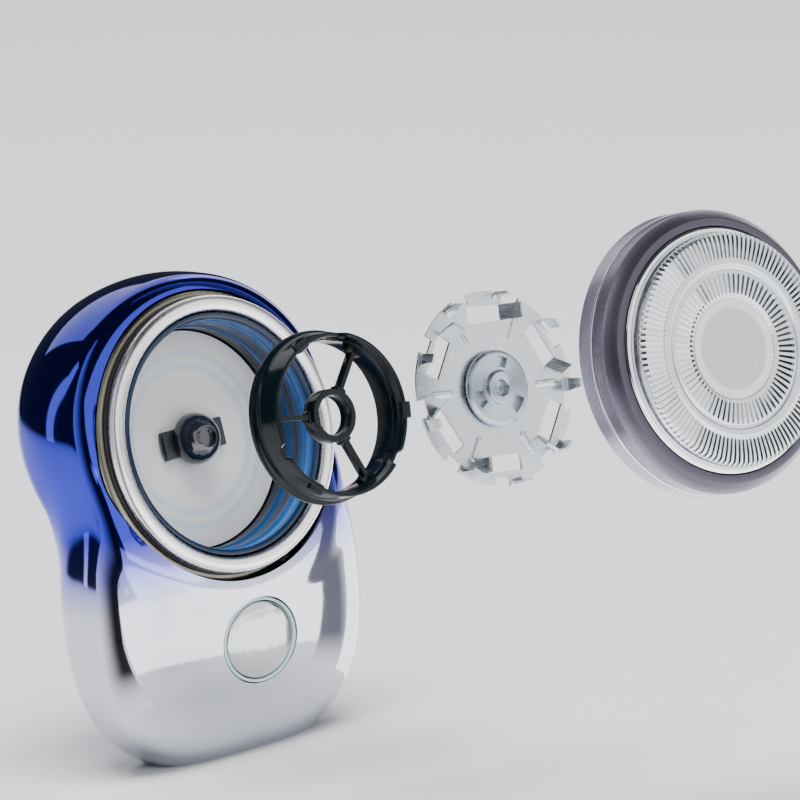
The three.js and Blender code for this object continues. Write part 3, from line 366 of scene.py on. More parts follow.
class Finish:
    """A procedural material: constants go straight on the shader, patterns come from nodes."""

    def __init__(self, name, colour=(0.8, 0.8, 0.8), roughness=0.4, metallic=0.0, **constants):
        self.material = bpy.data.materials.new(name)
        self.material.use_nodes = True
        self.tree = self.material.node_tree
        self.shader = self.tree.nodes["Principled BSDF"]
        self.set(Base_Color=(*colour, 1), Roughness=roughness, Metallic=metallic, **constants)
        self.place = self.node("ShaderNodeTexCoord", {}, {}).outputs["Object"]

    def set(self, **inputs):
        for name, value in inputs.items():
            self.plug(self.shader.inputs[name.replace("_", " ")], value)
        return self

    def plug(self, socket, value):
        if isinstance(value, Value):
            value = value.socket
        if isinstance(value, bpy.types.NodeSocket):
            self.tree.links.new(value, socket)
        else:
            socket.default_value = value

    def node(self, kind, settings, inputs):
        made = self.tree.nodes.new(kind)
        for name, value in settings.items():
            if name == "stops":
                self.set_stops(made.color_ramp, value)
            else:
                setattr(made, name, value)
        for name, value in inputs.items():
            self.plug(made.inputs[name], value)
        return made

    @staticmethod
    def set_stops(ramp, stops):
        while len(ramp.elements) < len(stops):
            ramp.elements.new(1)
        for element, (position, tint) in zip(ramp.elements, stops):
            element.position = position
            element.color = (*tint, 1)

    def value(self, kind, settings, inputs, output=0):
        return Value(self, self.node(kind, settings, inputs).outputs[output])

    def noise(self, scale, detail=3.0, at=None):
        where = at or self.place
        return self.value("ShaderNodeTexNoise", {}, {"Vector": where, "Scale": scale, "Detail": detail})

    def vector(self, operation, a, b, output=0):
        return self.value("ShaderNodeVectorMath", {"operation": operation}, {0: a, 1: b}, output)

    def height(self, direction):
        """How far a point lies along a direction, in metres."""
        return self.vector("DOT_PRODUCT", self.place, direction, 1)

    def radius(self, axis):
        """How far a point lies from an axis line, in metres: the length of (point - origin) x direction."""
        offset = self.vector("SUBTRACT", self.place, tuple(axis.origin))
        cross = self.vector("CROSS_PRODUCT", offset, tuple(axis.out))
        return self.value("ShaderNodeVectorMath", {"operation": "LENGTH"}, {0: cross}, 1)

    def spread(self, value, low, high, to_low=0.0, to_high=1.0, kind="LINEAR"):
        """The value carried from one range to another, and held at its ends."""
        return self.value("ShaderNodeMapRange", {"interpolation_type": kind},
                          {0: value, 1: low, 2: high, 3: to_low, 4: to_high})

    def ramp(self, value, stops):
        return self.node("ShaderNodeValToRGB", {"stops": stops}, {"Fac": value}).outputs["Color"]

    def mix(self, factor, a, b):
        made = self.node("ShaderNodeMix", {"data_type": "RGBA"}, {0: factor})
        self.plug(made.inputs[6], a if isinstance(a, bpy.types.NodeSocket) else (*a, 1))
        self.plug(made.inputs[7], b if isinstance(b, bpy.types.NodeSocket) else (*b, 1))
        return made.outputs[2]

    def bump(self, height, distance):
        """Relief of a height pattern, its distance in metres."""
        made = self.node("ShaderNodeBump", {}, {"Height": height, "Distance": distance, "Strength": 1.0})
        return self.set(Normal=made.outputs["Normal"])

    def clouded(self, scale, detail, tint, darker):
        """Colour that drifts between a tint and a darker share of it."""
        return self.set(Base_Color=self.mix(self.noise(scale, detail), tint, shaded(tint, darker)))

    def matted(self, pattern, high, roughness, rise):
        """Roughness that rises by a little where a pattern is high."""
        return self.set(Roughness=self.spread(pattern, 0.3, high, roughness, roughness + rise))


def shaded(tint, share):
    return tuple(share * c for c in tint)


def plated_finish(tints):
    """Mirror plating that runs from silver through lavender to deep blue up the handle."""
    made = Finish("plated_shell", metallic=1, Coat_Roughness=0.03)
    drift = made.noise(40, 1) * 0.0016
    up = made.spread(made.height((0, 0.10, 1)) + drift, 0.0, 0.075)
    stops = [(0.0, tints.silver), (0.33, tints.silver), (0.40, tints.lavender), (0.48, tints.blue),
             (0.75, tints.night)]
    made.set(Base_Color=made.ramp(up, stops), Coat_Weight=0.4)
    made.matted(made.noise(900, 2), 0.8, 0.055, 0.03)
    return made.bump(made.noise(260, 2), 0.000004).material


def polished_finish(name, tint=(0.93, 0.93, 0.94), roughness=0.06, relief=0.0000004):
    """Polished metal with faint hairlines."""
    made = Finish(name, metallic=1)
    made.matted(made.noise(1500, 3), 0.75, roughness, 0.05)
    made.clouded(300, 2, tint, 0.94)
    return made.bump(made.noise(900, 1), relief).material


def turned_finish(name, axis, tint, roughness, depth=0.000006):
    """Metal turned on a lathe: fine rings round the axis."""
    made = Finish(name, metallic=1)
    grooves = (made.radius(axis) * 52000).sine()
    made.matted(made.noise(700, 3), 0.8, roughness, 0.08)
    made.clouded(180, 3, tint, 0.8)
    return made.bump(grooves, depth).material


def moulded_finish(name, tint, roughness, grain=0.000012, coat=0.0, shine=0.5):
    """Moulded plastic: a soft grain and a slight cloudiness."""
    made = Finish(name, Coat_Weight=coat, Coat_Roughness=0.06, Specular_IOR_Level=shine)
    made.clouded(140, 3, tint, 0.8)
    made.matted(made.noise(1200, 3), 0.8, roughness, 0.1)
    return made.bump(made.noise(1800, 3), grain).material


def painted_finish(name, tint, axis, fade):
    """Satin metallic paint with fine flake, with painted shade: darker past a pair of heights along an axis,
    which on the front band darkens its bevel.
    """
    made = Finish(name, metallic=0.75, Coat_Weight=0.25, Coat_Roughness=0.2)
    flake = made.spread(made.noise(5200, 1), 0.45, 0.75)
    paint = made.mix(flake, shaded(tint, 0.82), tuple(min(1, 1.35 * c) for c in tint))
    up = made.height(tuple(axis.out)) - float(axis.origin @ axis.out)
    # painted shade: past the fade heights the colour falls to a third of the tint
    made.set(Base_Color=made.mix(made.spread(up, *fade), paint, shaded(tint, 0.34)))
    made.set(Roughness=made.spread(flake, 0, 1, 0.34, 0.26))
    return made.bump(made.noise(4200, 2), 0.000006).material


def chamber_finish(tint):
    """Clear blue moulding with painted shade and a painted highlight: darker towards the floor and at the rim,
    with dark and bright bands up the wall, and polished rings.
    """
    made = Finish("blue_chamber", roughness=0.16, Coat_Weight=0.25, Coat_Roughness=0.03, Specular_IOR_Level=0.3)
    depth = made.height(tuple(HEAD.out)) - float(HEAD.origin @ HEAD.out)
    # painted shade: the tint darkened to 8 percent, for the floor, the rim and a dark band
    deep = shaded(tint, 0.08)
    # painted highlight: the tint brightened 2.6 times, for a bright band up near the rim
    painted_highlight = tuple(2.6 * c + 0.02 for c in tint)
    stops = [(0, deep), (0.30, deep), (0.36, tint), (0.55, deep), (0.68, tint), (0.80, painted_highlight), (0.90, tint),
             (1, deep)]
    made.set(Base_Color=made.ramp(made.spread(depth, -0.0095, -0.0005), stops))
    return made.bump((depth * 9000).sine(), 0.00002).material


def plate_finish():
    """Pale satin moulding with fine rings and two faint blue bands."""
    made = Finish("pale_plate", roughness=0.35, Coat_Weight=0.3, Coat_Roughness=0.1)
    radius = made.radius(HEAD)
    first = made.spread(radius, 0.0098, 0.0102) * made.spread(radius, 0.0112, 0.0108)
    second = made.spread(radius, 0.0118, 0.0121) * made.spread(radius, 0.0130, 0.0127)
    cloud = made.mix(made.noise(120, 3), (0.88, 0.89, 0.90), (0.76, 0.77, 0.79))
    made.set(Base_Color=made.mix((first + second) * 0.55, cloud, (0.50, 0.66, 0.76)))
    return made.bump((radius * 21000).sine(), 0.00001).material


def disc_finish(axis):
    """Satin grey enamel with a paler rim."""
    made = Finish("disc_grey", roughness=0.3, metallic=0.2, Coat_Weight=0.3, Coat_Roughness=0.12)
    rim = made.spread(made.radius(axis), 0.0056, 0.0060)
    cloud = made.mix(made.noise(200, 2), (0.52, 0.52, 0.53), (0.58, 0.58, 0.59))
    made.set(Base_Color=made.mix(rim, cloud, (0.80, 0.80, 0.81)))
    return made.bump(made.noise(2200, 2), 0.000004).material


def glow_finish():
    """Pale teal light guide."""
    made = Finish("teal_ring", roughness=0.2, Coat_Weight=0.5, Emission_Strength=0.08)
    tint = made.mix(made.noise(300, 2), (0.55, 0.82, 0.75), (0.66, 0.88, 0.84))
    made.set(Base_Color=tint, Emission_Color=tint)
    return made.material


def steel_finish(name, dark, pale, roughness, rise, scale=1, stretch=None):
    """Bright pressed steel: colour, roughness and relief follow one grain, which a stretch can draw out."""
    made = Finish(name, metallic=1)
    at = made.place
    if stretch:
        at = made.node("ShaderNodeMapping", {}, {"Vector": made.place, "Scale": stretch}).outputs[0]
    grain = made.noise(scale, 3, at)
    made.set(Base_Color=made.mix(grain, dark, pale))
    made.matted(grain, 0.7, roughness, rise)
    return made.bump(grain, 0.000004).material


# --- body shell

def blend_min(a, b, k):
    """The smaller of two fields, eased over a width k."""
    h = np.clip(0.5 + 0.5 * (b - a) / k, 0, 1)
    return b * (1 - h) + a * h - k * h * (1 - h)


def blend_max(a, b, k):
    return -blend_min(-a, -b, k)


def lobe_field(x, y, z, reach):
    """Roughly the distance to a lobe whose reach is 1 on its surface: |p| (1 - 1 / reach)."""
    return np.sqrt(x ** 2 + y ** 2 + z ** 2) * (1 - 1 / np.maximum(reach, 1e-6))


def body_field(size, x, y, z):
    """The body: a superellipsoid lower lobe blended with an ellipsoid that leans with the head.

    The upper lobe's front is cut flat behind the ring and carries a round pod. Negative inside, in metres.
    """
    px, py, pz = x, y - size.lower_y, z - size.lower_z
    plan = np.abs(px / size.lower_width) ** size.lower_plan + np.abs(py / size.lower_depth) ** size.lower_plan
    side = plan ** (size.lower_side / size.lower_plan) + np.abs(pz / size.lower_height) ** size.lower_side
    lower = lobe_field(px, py, pz, side ** (1 / size.lower_side))
    dy, dz = y - HEAD.origin[1], z - HEAD.origin[2]
    out = dy * HEAD.out[1] + dz * HEAD.out[2]
    up = dy * HEAD.up[1] + dz * HEAD.up[2]
    behind = out + size.face_setback
    depth = size.pod_depth
    within = np.abs(behind + depth / 2) - depth / 2
    pod = blend_max(np.hypot(x, up) - size.pod_radius, within, size.edge_blend)
    pu, pw = out + size.upper_back, up - size.upper_up
    px, py, pz = x / size.upper_width, pu / size.upper_depth, pw / size.upper_height
    reach = np.sqrt(px ** 2 + py ** 2 + pz ** 2)
    upper = blend_max(lobe_field(x, pu, pw, reach), behind, size.edge_blend)
    return blend_min(lower, blend_min(upper, pod, size.pod_blend), size.waist_blend)


def spine(size, z):
    """Where the level rings are centred: the lower lobe's middle, moving smoothly to the upper lobe's."""
    top = HEAD.origin[1] - size.upper_back * HEAD.out[1] + size.upper_up * HEAD.up[1]
    t = np.clip((z - size.lower_z) / (HEAD.origin[2] - size.lower_z), 0, 1)
    return size.lower_y + (top - size.lower_y) * t * t * (3 - 2 * t)


# no point of the body lies further than this from the spine
FAR = 0.05


def meet(function, value, far):
    """Where a growing function of distance meets a value, by halving, for whole arrays."""
    low, high = np.zeros_like(far), far.copy()
    for _ in range(34):
        middle = (low + high) / 2
        inside = function(middle) < value
        low, high = np.where(inside, middle, low), np.where(inside, high, middle)
    return (low + high) / 2


def shell_grid(size, inset, bottom, levels, steps):
    """Level rings of the body's surface less an inset, from a flat bottom to a pole at the top.

    Each point lies where a level ray from the spine meets the field's value -inset.
    """
    crown = spine(size, HEAD.origin[2])
    head = HEAD.origin[2]
    top = head + meet(lambda r: body_field(size, 0, crown, head + r), -inset, np.array(FAR))
    share = (1 - np.cos(np.pi * (np.arange(levels) + 0.3) / (levels - 0.4))) / 2
    z = bottom + (top - bottom) * np.clip(share, 0, 1)
    z[0] = bottom
    z = z[:-1][:, None]
    a = np.arange(steps)[None, :] * TAU / steps
    middle = spine(size, z)
    far = np.full((len(z), steps), FAR)
    r = meet(lambda q: body_field(size, q * np.cos(a), middle + q * np.sin(a), z), -inset, far)
    grid = np.stack([r * np.cos(a), middle + r * np.sin(a), np.broadcast_to(z, r.shape)], -1)
    ends = [np.broadcast_to([0, spine(size, e), e], (1, steps, 3)) for e in (bottom, float(top))]
    return np.concatenate([ends[0], grid, ends[1]])


def field_normals(size, points):
    """Unit gradient of the body's field by central differences."""
    step = 2e-5
    columns = []
    for axis in np.eye(3) * step:
        ahead, behind = points + axis, points - axis
        columns.append(body_field(size, *ahead.T) - body_field(size, *behind.T))
    gradient = np.stack(columns, -1)
    return gradient / np.maximum(np.linalg.norm(gradient, axis=1, keepdims=True), 1e-12)


def read(items, name, width=1, kind=float):
    """An attribute of all items of a mesh as one array."""
    values = np.empty(len(items) * width, kind)
    items.foreach_get(name, values)
    return values.reshape(-1, width) if width > 1 else values


def smooth_by_field(piece, size):
    """Gives the outer faces the field's own normals, so the plating reflects without facets.

    The walls of cuts keep theirs: their points lie off the surface, or their faces turn away from it.
    """
    mesh = piece.data
    points = read(mesh.vertices, "co", 3)
    corner_vertex = read(mesh.loops, "vertex_index", 1, np.int32)
    sides = read(mesh.polygons, "loop_total", 1, np.int32)
    flat = np.repeat(read(mesh.polygons, "normal", 3), sides, axis=0)
    smooth = field_normals(size, points)[corner_vertex]
    on_surface = np.abs(body_field(size, *points.T))[corner_vertex] < 5e-5
    agrees = (flat * smooth).sum(1) > 0.9
    normals = np.where((on_surface & agrees)[:, None], smooth, flat)
    mesh.normals_split_custom_set(normals.tolist())


def plug(axis, radius, bottom, top, steps):
    """A plain cylinder round an axis, as a cutting tool."""
    return disc("tool", axis, [[0, bottom], [radius, bottom], [radius, top], [0, top]], 0, steps)


def port_tool(gap=0.2, reach=4):
    """A round-ended slot a gap wider than the charging port, carried through the back wall."""
    low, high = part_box("usb_c_port")
    middle = (low + high) / 2
    wide, tall = ((high[k] - low[k]) / MM + 2 * gap for k in (0, 2))
    x, z, y = np.moveaxis(prism_grid(rectangle(wide, tall, tall / 2), -reach, reach), -1, 0)
    port = np.stack([x + middle[0], high[1] + y, z + middle[2]], -1)
    return mesh_object("tool", [(port, False, True)])


def build_shell(size, tints):
    piece = mesh_object("body_shell_skin", [(shell_grid(size, 0, 0, 250, 288), False, True)])
    inner = mesh_object("tool", [(shell_grid(size, size.wall, size.wall, 60, 96), False, True)])
    seat, well = plug(HEAD, size.bore / MM, -8.1, 1, 256), plug(BUTTON, BUTTON_BORE, -3.5, 2.5, 128)
    cut(piece, [inner, seat, well, port_tool()])
    finish_mesh(piece, 40)
    smooth_by_field(piece, size)
    give(piece, "housing", plated_finish(tints), "plated_shell", "body_shell")


# --- the head's seat on the body

def build_seat(head):
    ring_out, ring_in = head.ring_radius / MM, head.ring_bore / MM
    piece = ring("polished_ring", HEAD, [
        [ring_in, -1.9], [ring_out, -1.9], [ring_out, -0.55], [ring_out - 0.75, 0], [ring_in + 0.55, 0],
        [ring_in, -0.5]], 0.6, sharp=60)
    chrome = polished_finish("polished_chrome", (0.97, 0.96, 0.94), 0.26, 0.0000001)
    give(piece, "housing", chrome, "polished_chrome", "chrome_ring")
    rim, bore = head.collar_radius / MM, 18.4
    piece = ring("collar_band", HEAD, [
        [bore, -7.7], [rim, -7.7], [rim, -3.2], [rim - 0.45, -2.7], [bore, -2.7]], 0.25)
    metal = turned_finish("collar_metal", HEAD, (0.30, 0.28, 0.22), 0.2)
    give(piece, "housing", metal, "collar_metal", "head_collar")
    piece = ring("gasket_ring", HEAD, [[17.85, -2.6], [20.1, -2.6], [20.1, -2.1], [17.85, -2.1]], 0.12, 192)
    rubber = moulded_finish("black_rubber", (0.012, 0.012, 0.014), 0.5)
    give(piece, "housing", rubber, "black_rubber", "collar_gasket")


def build_chamber(tints):
    piece = ring("chamber_cup", HEAD, [
        [3.2, -10.3], [17.45, -10.3], [17.45, -0.7], [17.0, -0.62], [16.55, -0.9], [16.55, -3.0], [16.2, -3.2],
        [16.2, -6.1], [15.85, -6.3], [15.85, -9.3], [3.2, -9.3]], 0.22)
    give(piece, "housing", chamber_finish(tints.chamber), "blue_chamber", "hair_chamber")
    piece = ring("chamber_floor_plate", HEAD, [[2.6, -9.2], [15.65, -9.2], [15.65, -8.6], [2.6, -8.6]], 0.12)
    give(piece, "housing", plate_finish(), "pale_plate", "floor_plate")


def build_drive():
    """A dome whose profile is a squashed circle, open at a socket for the cutter's stem, on a flat bar."""
    radius, rise, base, socket = 3.8, 3.6, -7.4, 1.55
    arc = np.linspace(0, math.acos(socket / radius), 10)
    dome = [[radius * math.cos(t), base + rise * math.sin(t)] for t in arc]
    corners = [[0, base], *dome, [1.45, -4.25], [1.4, -5.1], [0, -5.1]]
    smoke = moulded_finish("smoke_plastic", (0.012, 0.016, 0.024), 0.05, 0.000002, coat=1.0)
    give(disc("drive_cap", HEAD, corners, 0.08, 96, 50), "rotor", smoke, "smoke_plastic", "drive_dome")
    bar = HEAD.place(bar_grid([11.4, 4.1, 0.8], [0, 0, -7.9], 0.0, 0.2))
    navy = moulded_finish("navy_plastic", (0.004, 0.006, 0.014), 0.32)
    give(mesh_object("drive_bar", [(bar, False, True)]), "rotor", navy, "smoke_plastic", "drive_arm")


# --- button

def build_button():
    piece = disc("power_button", BUTTON, [
        [0, -1.2], [BUTTON_RADIUS, -1.2], [BUTTON_RADIUS, 0], [5.2, 0.12], [4.2, 0.30], [3.0, 0.44],
        [1.6, 0.53], [0, 0.56]], 0.2, 160, 50)
    steel = polished_finish("button_steel", (0.58, 0.58, 0.60), 0.09)
    give(piece, "button", steel, "button_steel", "button_cap")
    r = BUTTON_RADIUS + LIGHT_GAP
    edge = r + LIGHT_WIDTH
    piece = ring("button_light_ring", BUTTON, [[r, -1.9], [edge, -1.9], [edge, 0.15], [r, 0.15]], 0.12, 160)
    give(piece, "housing", glow_finish(), "teal_ring", "light_ring")


# --- retaining frame

def notched(grid, a):
    """Moves the last rows back over a short arc beside each spoke: a step 1 / (1 + exp) of the angle."""
    local = np.mod(a - SPOKE_PHASE - NOTCH_TURN + TAU / 6, TAU / 3) - TAU / 6
    dip = 1.1 * MM / (1 + np.exp((np.abs(local) - 0.09) * 260))
    front = np.clip((grid[..., 2] - 3.5 * MM) / (1.2 * MM), 0, 1)
    grid[..., 2] -= dip * front
    return grid


def build_frame(head):
    wall = eased([
        [10.75, 0.15], [11.0, 0], [12.1, 0], [12.5, 0.4], [12.5, 1.1], [12.0, 1.5], [11.8, 2.2], [11.8, 6],
        [11.2, 6], [11.1, 4.4], [10.75, 4.0]], 0.22)
    hub = eased([[2.9, 1.7], [3.85, 1.7], [3.85, 4.3], [2.9, 4.3]], 0.18)
    grids = [(revolved(wall, 240, notched), True, True), (revolved(hub, 96), True, True)]
    spoke = ([7.7, 0.75, 1.5], [7.3, 0, 3.0], 0, 0.12)
    wall_foot = ([1.5, 2.6, 1.5], [10.5, 0, 3.0], 0, 0.3)
    hub_foot = ([1.0, 1.8, 1.7], [4.1, 0, 3.0], 0, 0.3)
    ear = ([1.8, 2.4, 0.9], [11.7, 0, 5.5], TAU / 6, 0.2)
    for i in range(3):
        for size, centre, turn, ease in (spoke, wall_foot, hub_foot, ear):
            grids.append((bar_grid(size, centre, SPOKE_PHASE + i * TAU / 3 + turn, ease), False, True))
    axis = HEAD.along(head.frame_out)
    placed = [(axis.place(grid), rows, columns) for grid, rows, columns in grids]
    piece = mesh_object("retaining_ring_frame", placed)
    black = moulded_finish("black_plastic", (0.002, 0.006, 0.009), 0.1, 0.000003, shine=0.22)
    give(piece, "frame", black, "black_plastic", "retaining_frame")


# --- cutter

def bent_strip(width, path, shares, thickness, turn):
    """A pressed strip: a path in the radius and height plane carried across its width, then turned.

    shares are the parts of the width that the strip has along its path.
    """
    tangent = np.gradient(path, axis=0)
    normal = np.stack([-tangent[:, 1], tangent[:, 0]], -1)
    normal /= np.linalg.norm(normal, axis=1, keepdims=True)
    half = shares * width / 2
    over, under = path + normal * thickness / 2, path - normal * thickness / 2
    corners = ((over, -half), (over, half), (under, half), (under, -half))
    grid = np.stack([np.stack([side[:, 0], y, side[:, 1]], -1) for side, y in corners], 1)
    return swung(capped(grid), turn) * MM


def bead_grid(turn, span=3.9, width=1.0, height=0.22, radius=9.4, base=CUTTER_THICKNESS):
    """A pressed bead: a rounded bar's outline drawn in as it rises, with height sin(s) and inset 1 - cos(s)."""
    end = np.linspace(-math.pi / 2, math.pi / 2, 9)
    half, straight = width / 2, (span - width) / 2
    x = np.concatenate([straight + half * np.cos(end), -straight - half * np.cos(end)])
    y = np.concatenate([half * np.sin(end), -half * np.sin(end)])
    middle = np.where(x > 0, straight, -straight)
    rise = np.linspace(0, math.pi / 2, 6)[:, None]
    shrink = np.cos(rise)
    rows = [radius + middle + (x - middle) * shrink, y * shrink, base - 0.05 + height * np.sin(rise) + 0 * x]
    return swung(capped(np.stack(rows, -1)), turn) * MM


def blade_grid(turn, height=2.9, lean=math.radians(28), steps=8):
    """A bent blade: a straight tab that leans back and starts with a small sine bend, given its thickness."""
    t = np.linspace(0, 1, steps)
    y = -3.1 - 0.25 * np.sin(t * math.pi / 2) - height * t * math.sin(lean)
    left, right = (np.stack([np.full(steps, r), y, 0.2 + height * t], -1) for r in (9.5, 11.7))
    shift = np.array([0, 0.36, 0.12])
    return swung(capped(np.stack([left, right, right + shift, left + shift], 1)), turn) * MM


def prong_grid(turn, steps=10):
    """A rim prong: its radius swells as a sine and eases back, and its height grows as a power of 1.6."""
    t = np.linspace(0, 1, steps)
    r = 12.2 + 1.2 * np.sin(np.minimum(t * 2.2, 1) * math.pi / 2) + 0.12 * np.sin(t * math.pi)
    path = np.stack([r, 0.2 + 3.2 * t ** 1.6], -1)
    return bent_strip(1.6, path, np.linspace(1.25, 0.8, steps), 0.36, turn)


def cutter_hole(outline, radius):
    """An outline about (radius, 0), turned round the axis, as a cutting tool through the disc."""
    return lambda turn: prism_grid(swung(outline + [radius, 0], turn), -1, 1.5)


def around(count, first, grid):
    """The grids of a pattern: one at each equal step round the cutter's axis."""
    return [(CUTTER.place(grid(first + i * TAU / count)), False, True) for i in range(count)]


def build_cutter():
    dark, pale = (0.48, 0.52, 0.56), (0.66, 0.69, 0.72)
    steel = steel_finish("cutter_steel", dark, pale, 0.22, 0.12, stretch=(300, 300, 4000))
    rim, bore, thick = 13.85, 4.6, CUTTER_THICKNESS
    piece = ring("cutter_plate", CUTTER, [[bore, 0], [rim, 0], [rim, thick], [bore, thick]], 0.05)
    windows = around(WINDOWS, WINDOW_PHASE, cutter_hole(rectangle(2.3, 6.2, 0.15), 10.6))
    notches = around(PRONGS, NOTCH_PHASE, cutter_hole(rectangle(2.6, 2.6, 0.3), rim))
    cut(piece, [mesh_object("tool", windows + notches)])
    finish_mesh(piece)
    give(piece, "cutter", steel, "cutter_steel", "cutter_disc")

    blades = around(WINDOWS, WINDOW_PHASE, blade_grid)
    beads = around(WINDOWS, WINDOW_PHASE - TAU / WINDOWS / 2, bead_grid)
    prongs = around(PRONGS, PRONG_PHASE, prong_grid)
    give(mesh_object("cutter_blades", blades + beads + prongs, 30), "cutter", steel, "cutter_steel")

    top = 1.7
    piece = disc("cutter_drum", CUTTER, [
        [0, 0.4], [1.95, 0.4], [1.95, 0.5], [4.5, 0.5], [5.4, 0.7], [5.4, top - 0.4], [5.0, top], [2.5, top],
        [2.3, top + 0.7], [1.3, top + 0.7], [1.1, top + 0.5], [1.1, top - 0.5], [0, top - 0.5]], 0.18)
    a = np.linspace(-0.3, 0.3, 8)
    arcs = [radius * np.stack([np.cos(b), np.sin(b)], -1) for radius, b in ((3.0, a), (4.5, a[::-1]))]
    outline = np.concatenate(arcs)
    slots = around(3, DRUM_PHASE, lambda turn: prism_grid(swung(outline, turn), 1.0, top + 1))
    cut(piece, [mesh_object("tool", slots)])
    finish_mesh(piece)
    give(piece, "cutter", turned_finish("hub_steel", CUTTER, (0.46, 0.51, 0.57), 0.24), "cutter_steel")
    piece = disc("cutter_stem", CUTTER, [
        [0, -9.5], [1.2, -9.5], [1.2, -8.6], [1.95, -8.6], [1.95, 0.4], [0, 0.4]], 0.1, 48)
    give(piece, "cutter", steel, "cutter_steel", "cutter_hub")


# --- head cap

def build_cap(head, tints):
    axis = HEAD.along(head.cap_out)
    r, bore = head.cap_radius / MM, 16.45
    piece = ring("cap_rear_band", axis, [
        [bore, 0], [r - 0.25, 0], [r, 0.25], [r, 2.62], [r - 0.08, 2.7], [bore, 2.7]], 0.08)
    paint = painted_finish("mauve_light", tints.mauve, axis, (0.01, 0.012))
    give(piece, "head_cap", paint, "mauve_light", "cap_rear_ring")
    chrome = polished_finish("trim_chrome")
    piece = ring("cap_bright_line", axis, [[bore, 2.8], [r, 2.8], [r, 3.05], [bore, 3.05]], 0.06)
    give(piece, "head_cap", chrome, "polished_chrome", "cap_line_ring")
    piece = ring("cap_front_band", axis, [
        [bore, 3.1], [r - 0.05, 3.1], [r - 0.05, 5.5], [r - 0.35, 5.95], [18.55, 7.35], [17.45, 7.45],
        [17.45, 6.7], [bore, 6.7]], 0.3)
    # from 5.4 to 6.6 mm up the cap the bevel gets painted shade
    paint = painted_finish("mauve_dark", tints.mauve_dark, axis, (0.0054, 0.0066))
    give(piece, "head_cap", paint, "mauve_dark", "cap_front_ring")
    piece = ring("cap_trim_band", axis, [
        [16.25, 6.9], [17.35, 6.9], [17.35, 7.45], [17.0, 7.8], [16.6, 7.8], [16.25, 7.5]], 0.3, sharp=60)
    give(piece, "head_cap", chrome, "polished_chrome", "cap_trim_ring")
    piece = ring("cap_holder_ring", axis, [
        [15.15, -2.2], [16.25, -2.2], [16.25, 6.7], [15.15, 6.7]], 0.15, 192)
    holder = moulded_finish("holder_plastic", (0.02, 0.024, 0.03), 0.2, coat=0.4)
    give(piece, "head_cap", holder, "black_plastic", "cap_holder")


def slotted_track(count, profile, slot_rows, share):
    """A pressed track cut by radial slots: a polar grid that leaves out its cells over each slot.

    profile holds [radius, height] pairs; slot_rows are the first and last profile rows of the slots, and
    share is the part of each pitch that a slot takes. Returns points and faces.
    """
    offsets = np.array([-0.5, -share / 2, 0, share / 2])
    a = ((np.arange(count)[:, None] + offsets) * TAU / count).ravel()
    faces = quads(len(profile), len(a), False, True, 0)
    row = np.repeat(np.arange(len(profile) - 1), len(a))
    column = np.tile(np.arange(len(a)), len(profile) - 1) % len(offsets)
    in_slot = (row >= slot_rows[0]) & (row < slot_rows[1]) & ((column == 1) | (column == 2))
    r, z = np.array(profile).T[..., None]
    points = np.stack([r * np.cos(a), r * np.sin(a), np.broadcast_to(z, (len(profile), len(a)))], -1)
    return points.reshape(-1, 3) * MM, faces[~in_slot]


def build_net(head):
    """Two slotted tracks with a step between them, given a wall."""
    axis = HEAD.along(head.cap_out)
    top, edge = 9.8, head.net_radius / MM
    outer = [[edge, 6.95], [edge, top - 0.9], [edge - 0.08, top - 0.45], [edge - 0.35, top - 0.08], [15.0, top],
             [14.0, top + 0.02], [13.0, top], [12.55, top - 0.02], [12.25, top + 0.1], [12.0, top + 0.16],
             [11.7, top + 0.12], [11.5, top - 0.1], [11.35, top - 0.5]]
    inner = [[11.36, top - 0.5], [11.15, top - 0.42], [10.9, top - 0.2], [10.5, top - 0.12], [9.6, top - 0.1],
             [8.6, top - 0.1], [7.8, top - 0.12], [7.45, top - 0.2], [7.35, top - 0.4], [7.3, top - 0.5],
             [3.0, top - 0.5], [0.2, top - 0.5]]
    points, faces = slotted_track(head.outer_slots, outer, (2, 7), 0.5)
    inner_points, inner_faces = slotted_track(head.inner_slots, inner, (3, 6), 0.48)
    both = axis.place(np.concatenate([points, inner_points]))
    piece = raw_object("slotted_net", both, np.concatenate([faces, inner_faces + len(points)]))
    wall = piece.modifiers.new("wall", "SOLIDIFY")
    wall.thickness = 0.5 * MM
    wall.offset = 1
    apply_modifiers(piece)
    finish_mesh(piece, 40)
    steel = steel_finish("net_steel", (0.56, 0.60, 0.64), (0.70, 0.73, 0.76), 0.16, 0.1, scale=900)
    give(piece, "head_cap", steel, "net_steel", "blade_net")


def build_disc(head):
    axis = HEAD.along(head.cap_out)
    piece = disc("cap_centre_disc", axis, [
        [0, 9.4], [7.1, 9.4], [7.1, 9.8], [6.8, 9.98], [6.0, 9.98], [5.7, 9.85], [4.3, 9.85], [4.2, 9.8],
        [3.9, 9.8], [3.8, 9.85], [0, 9.87]], 0.12, 160, 60)
    give(piece, "head_cap", disc_finish(axis), "disc_grey", "centre_disc")


# --- pieces kept from the frame

def pair(name):
    return [name + "_left", name + "_right"]


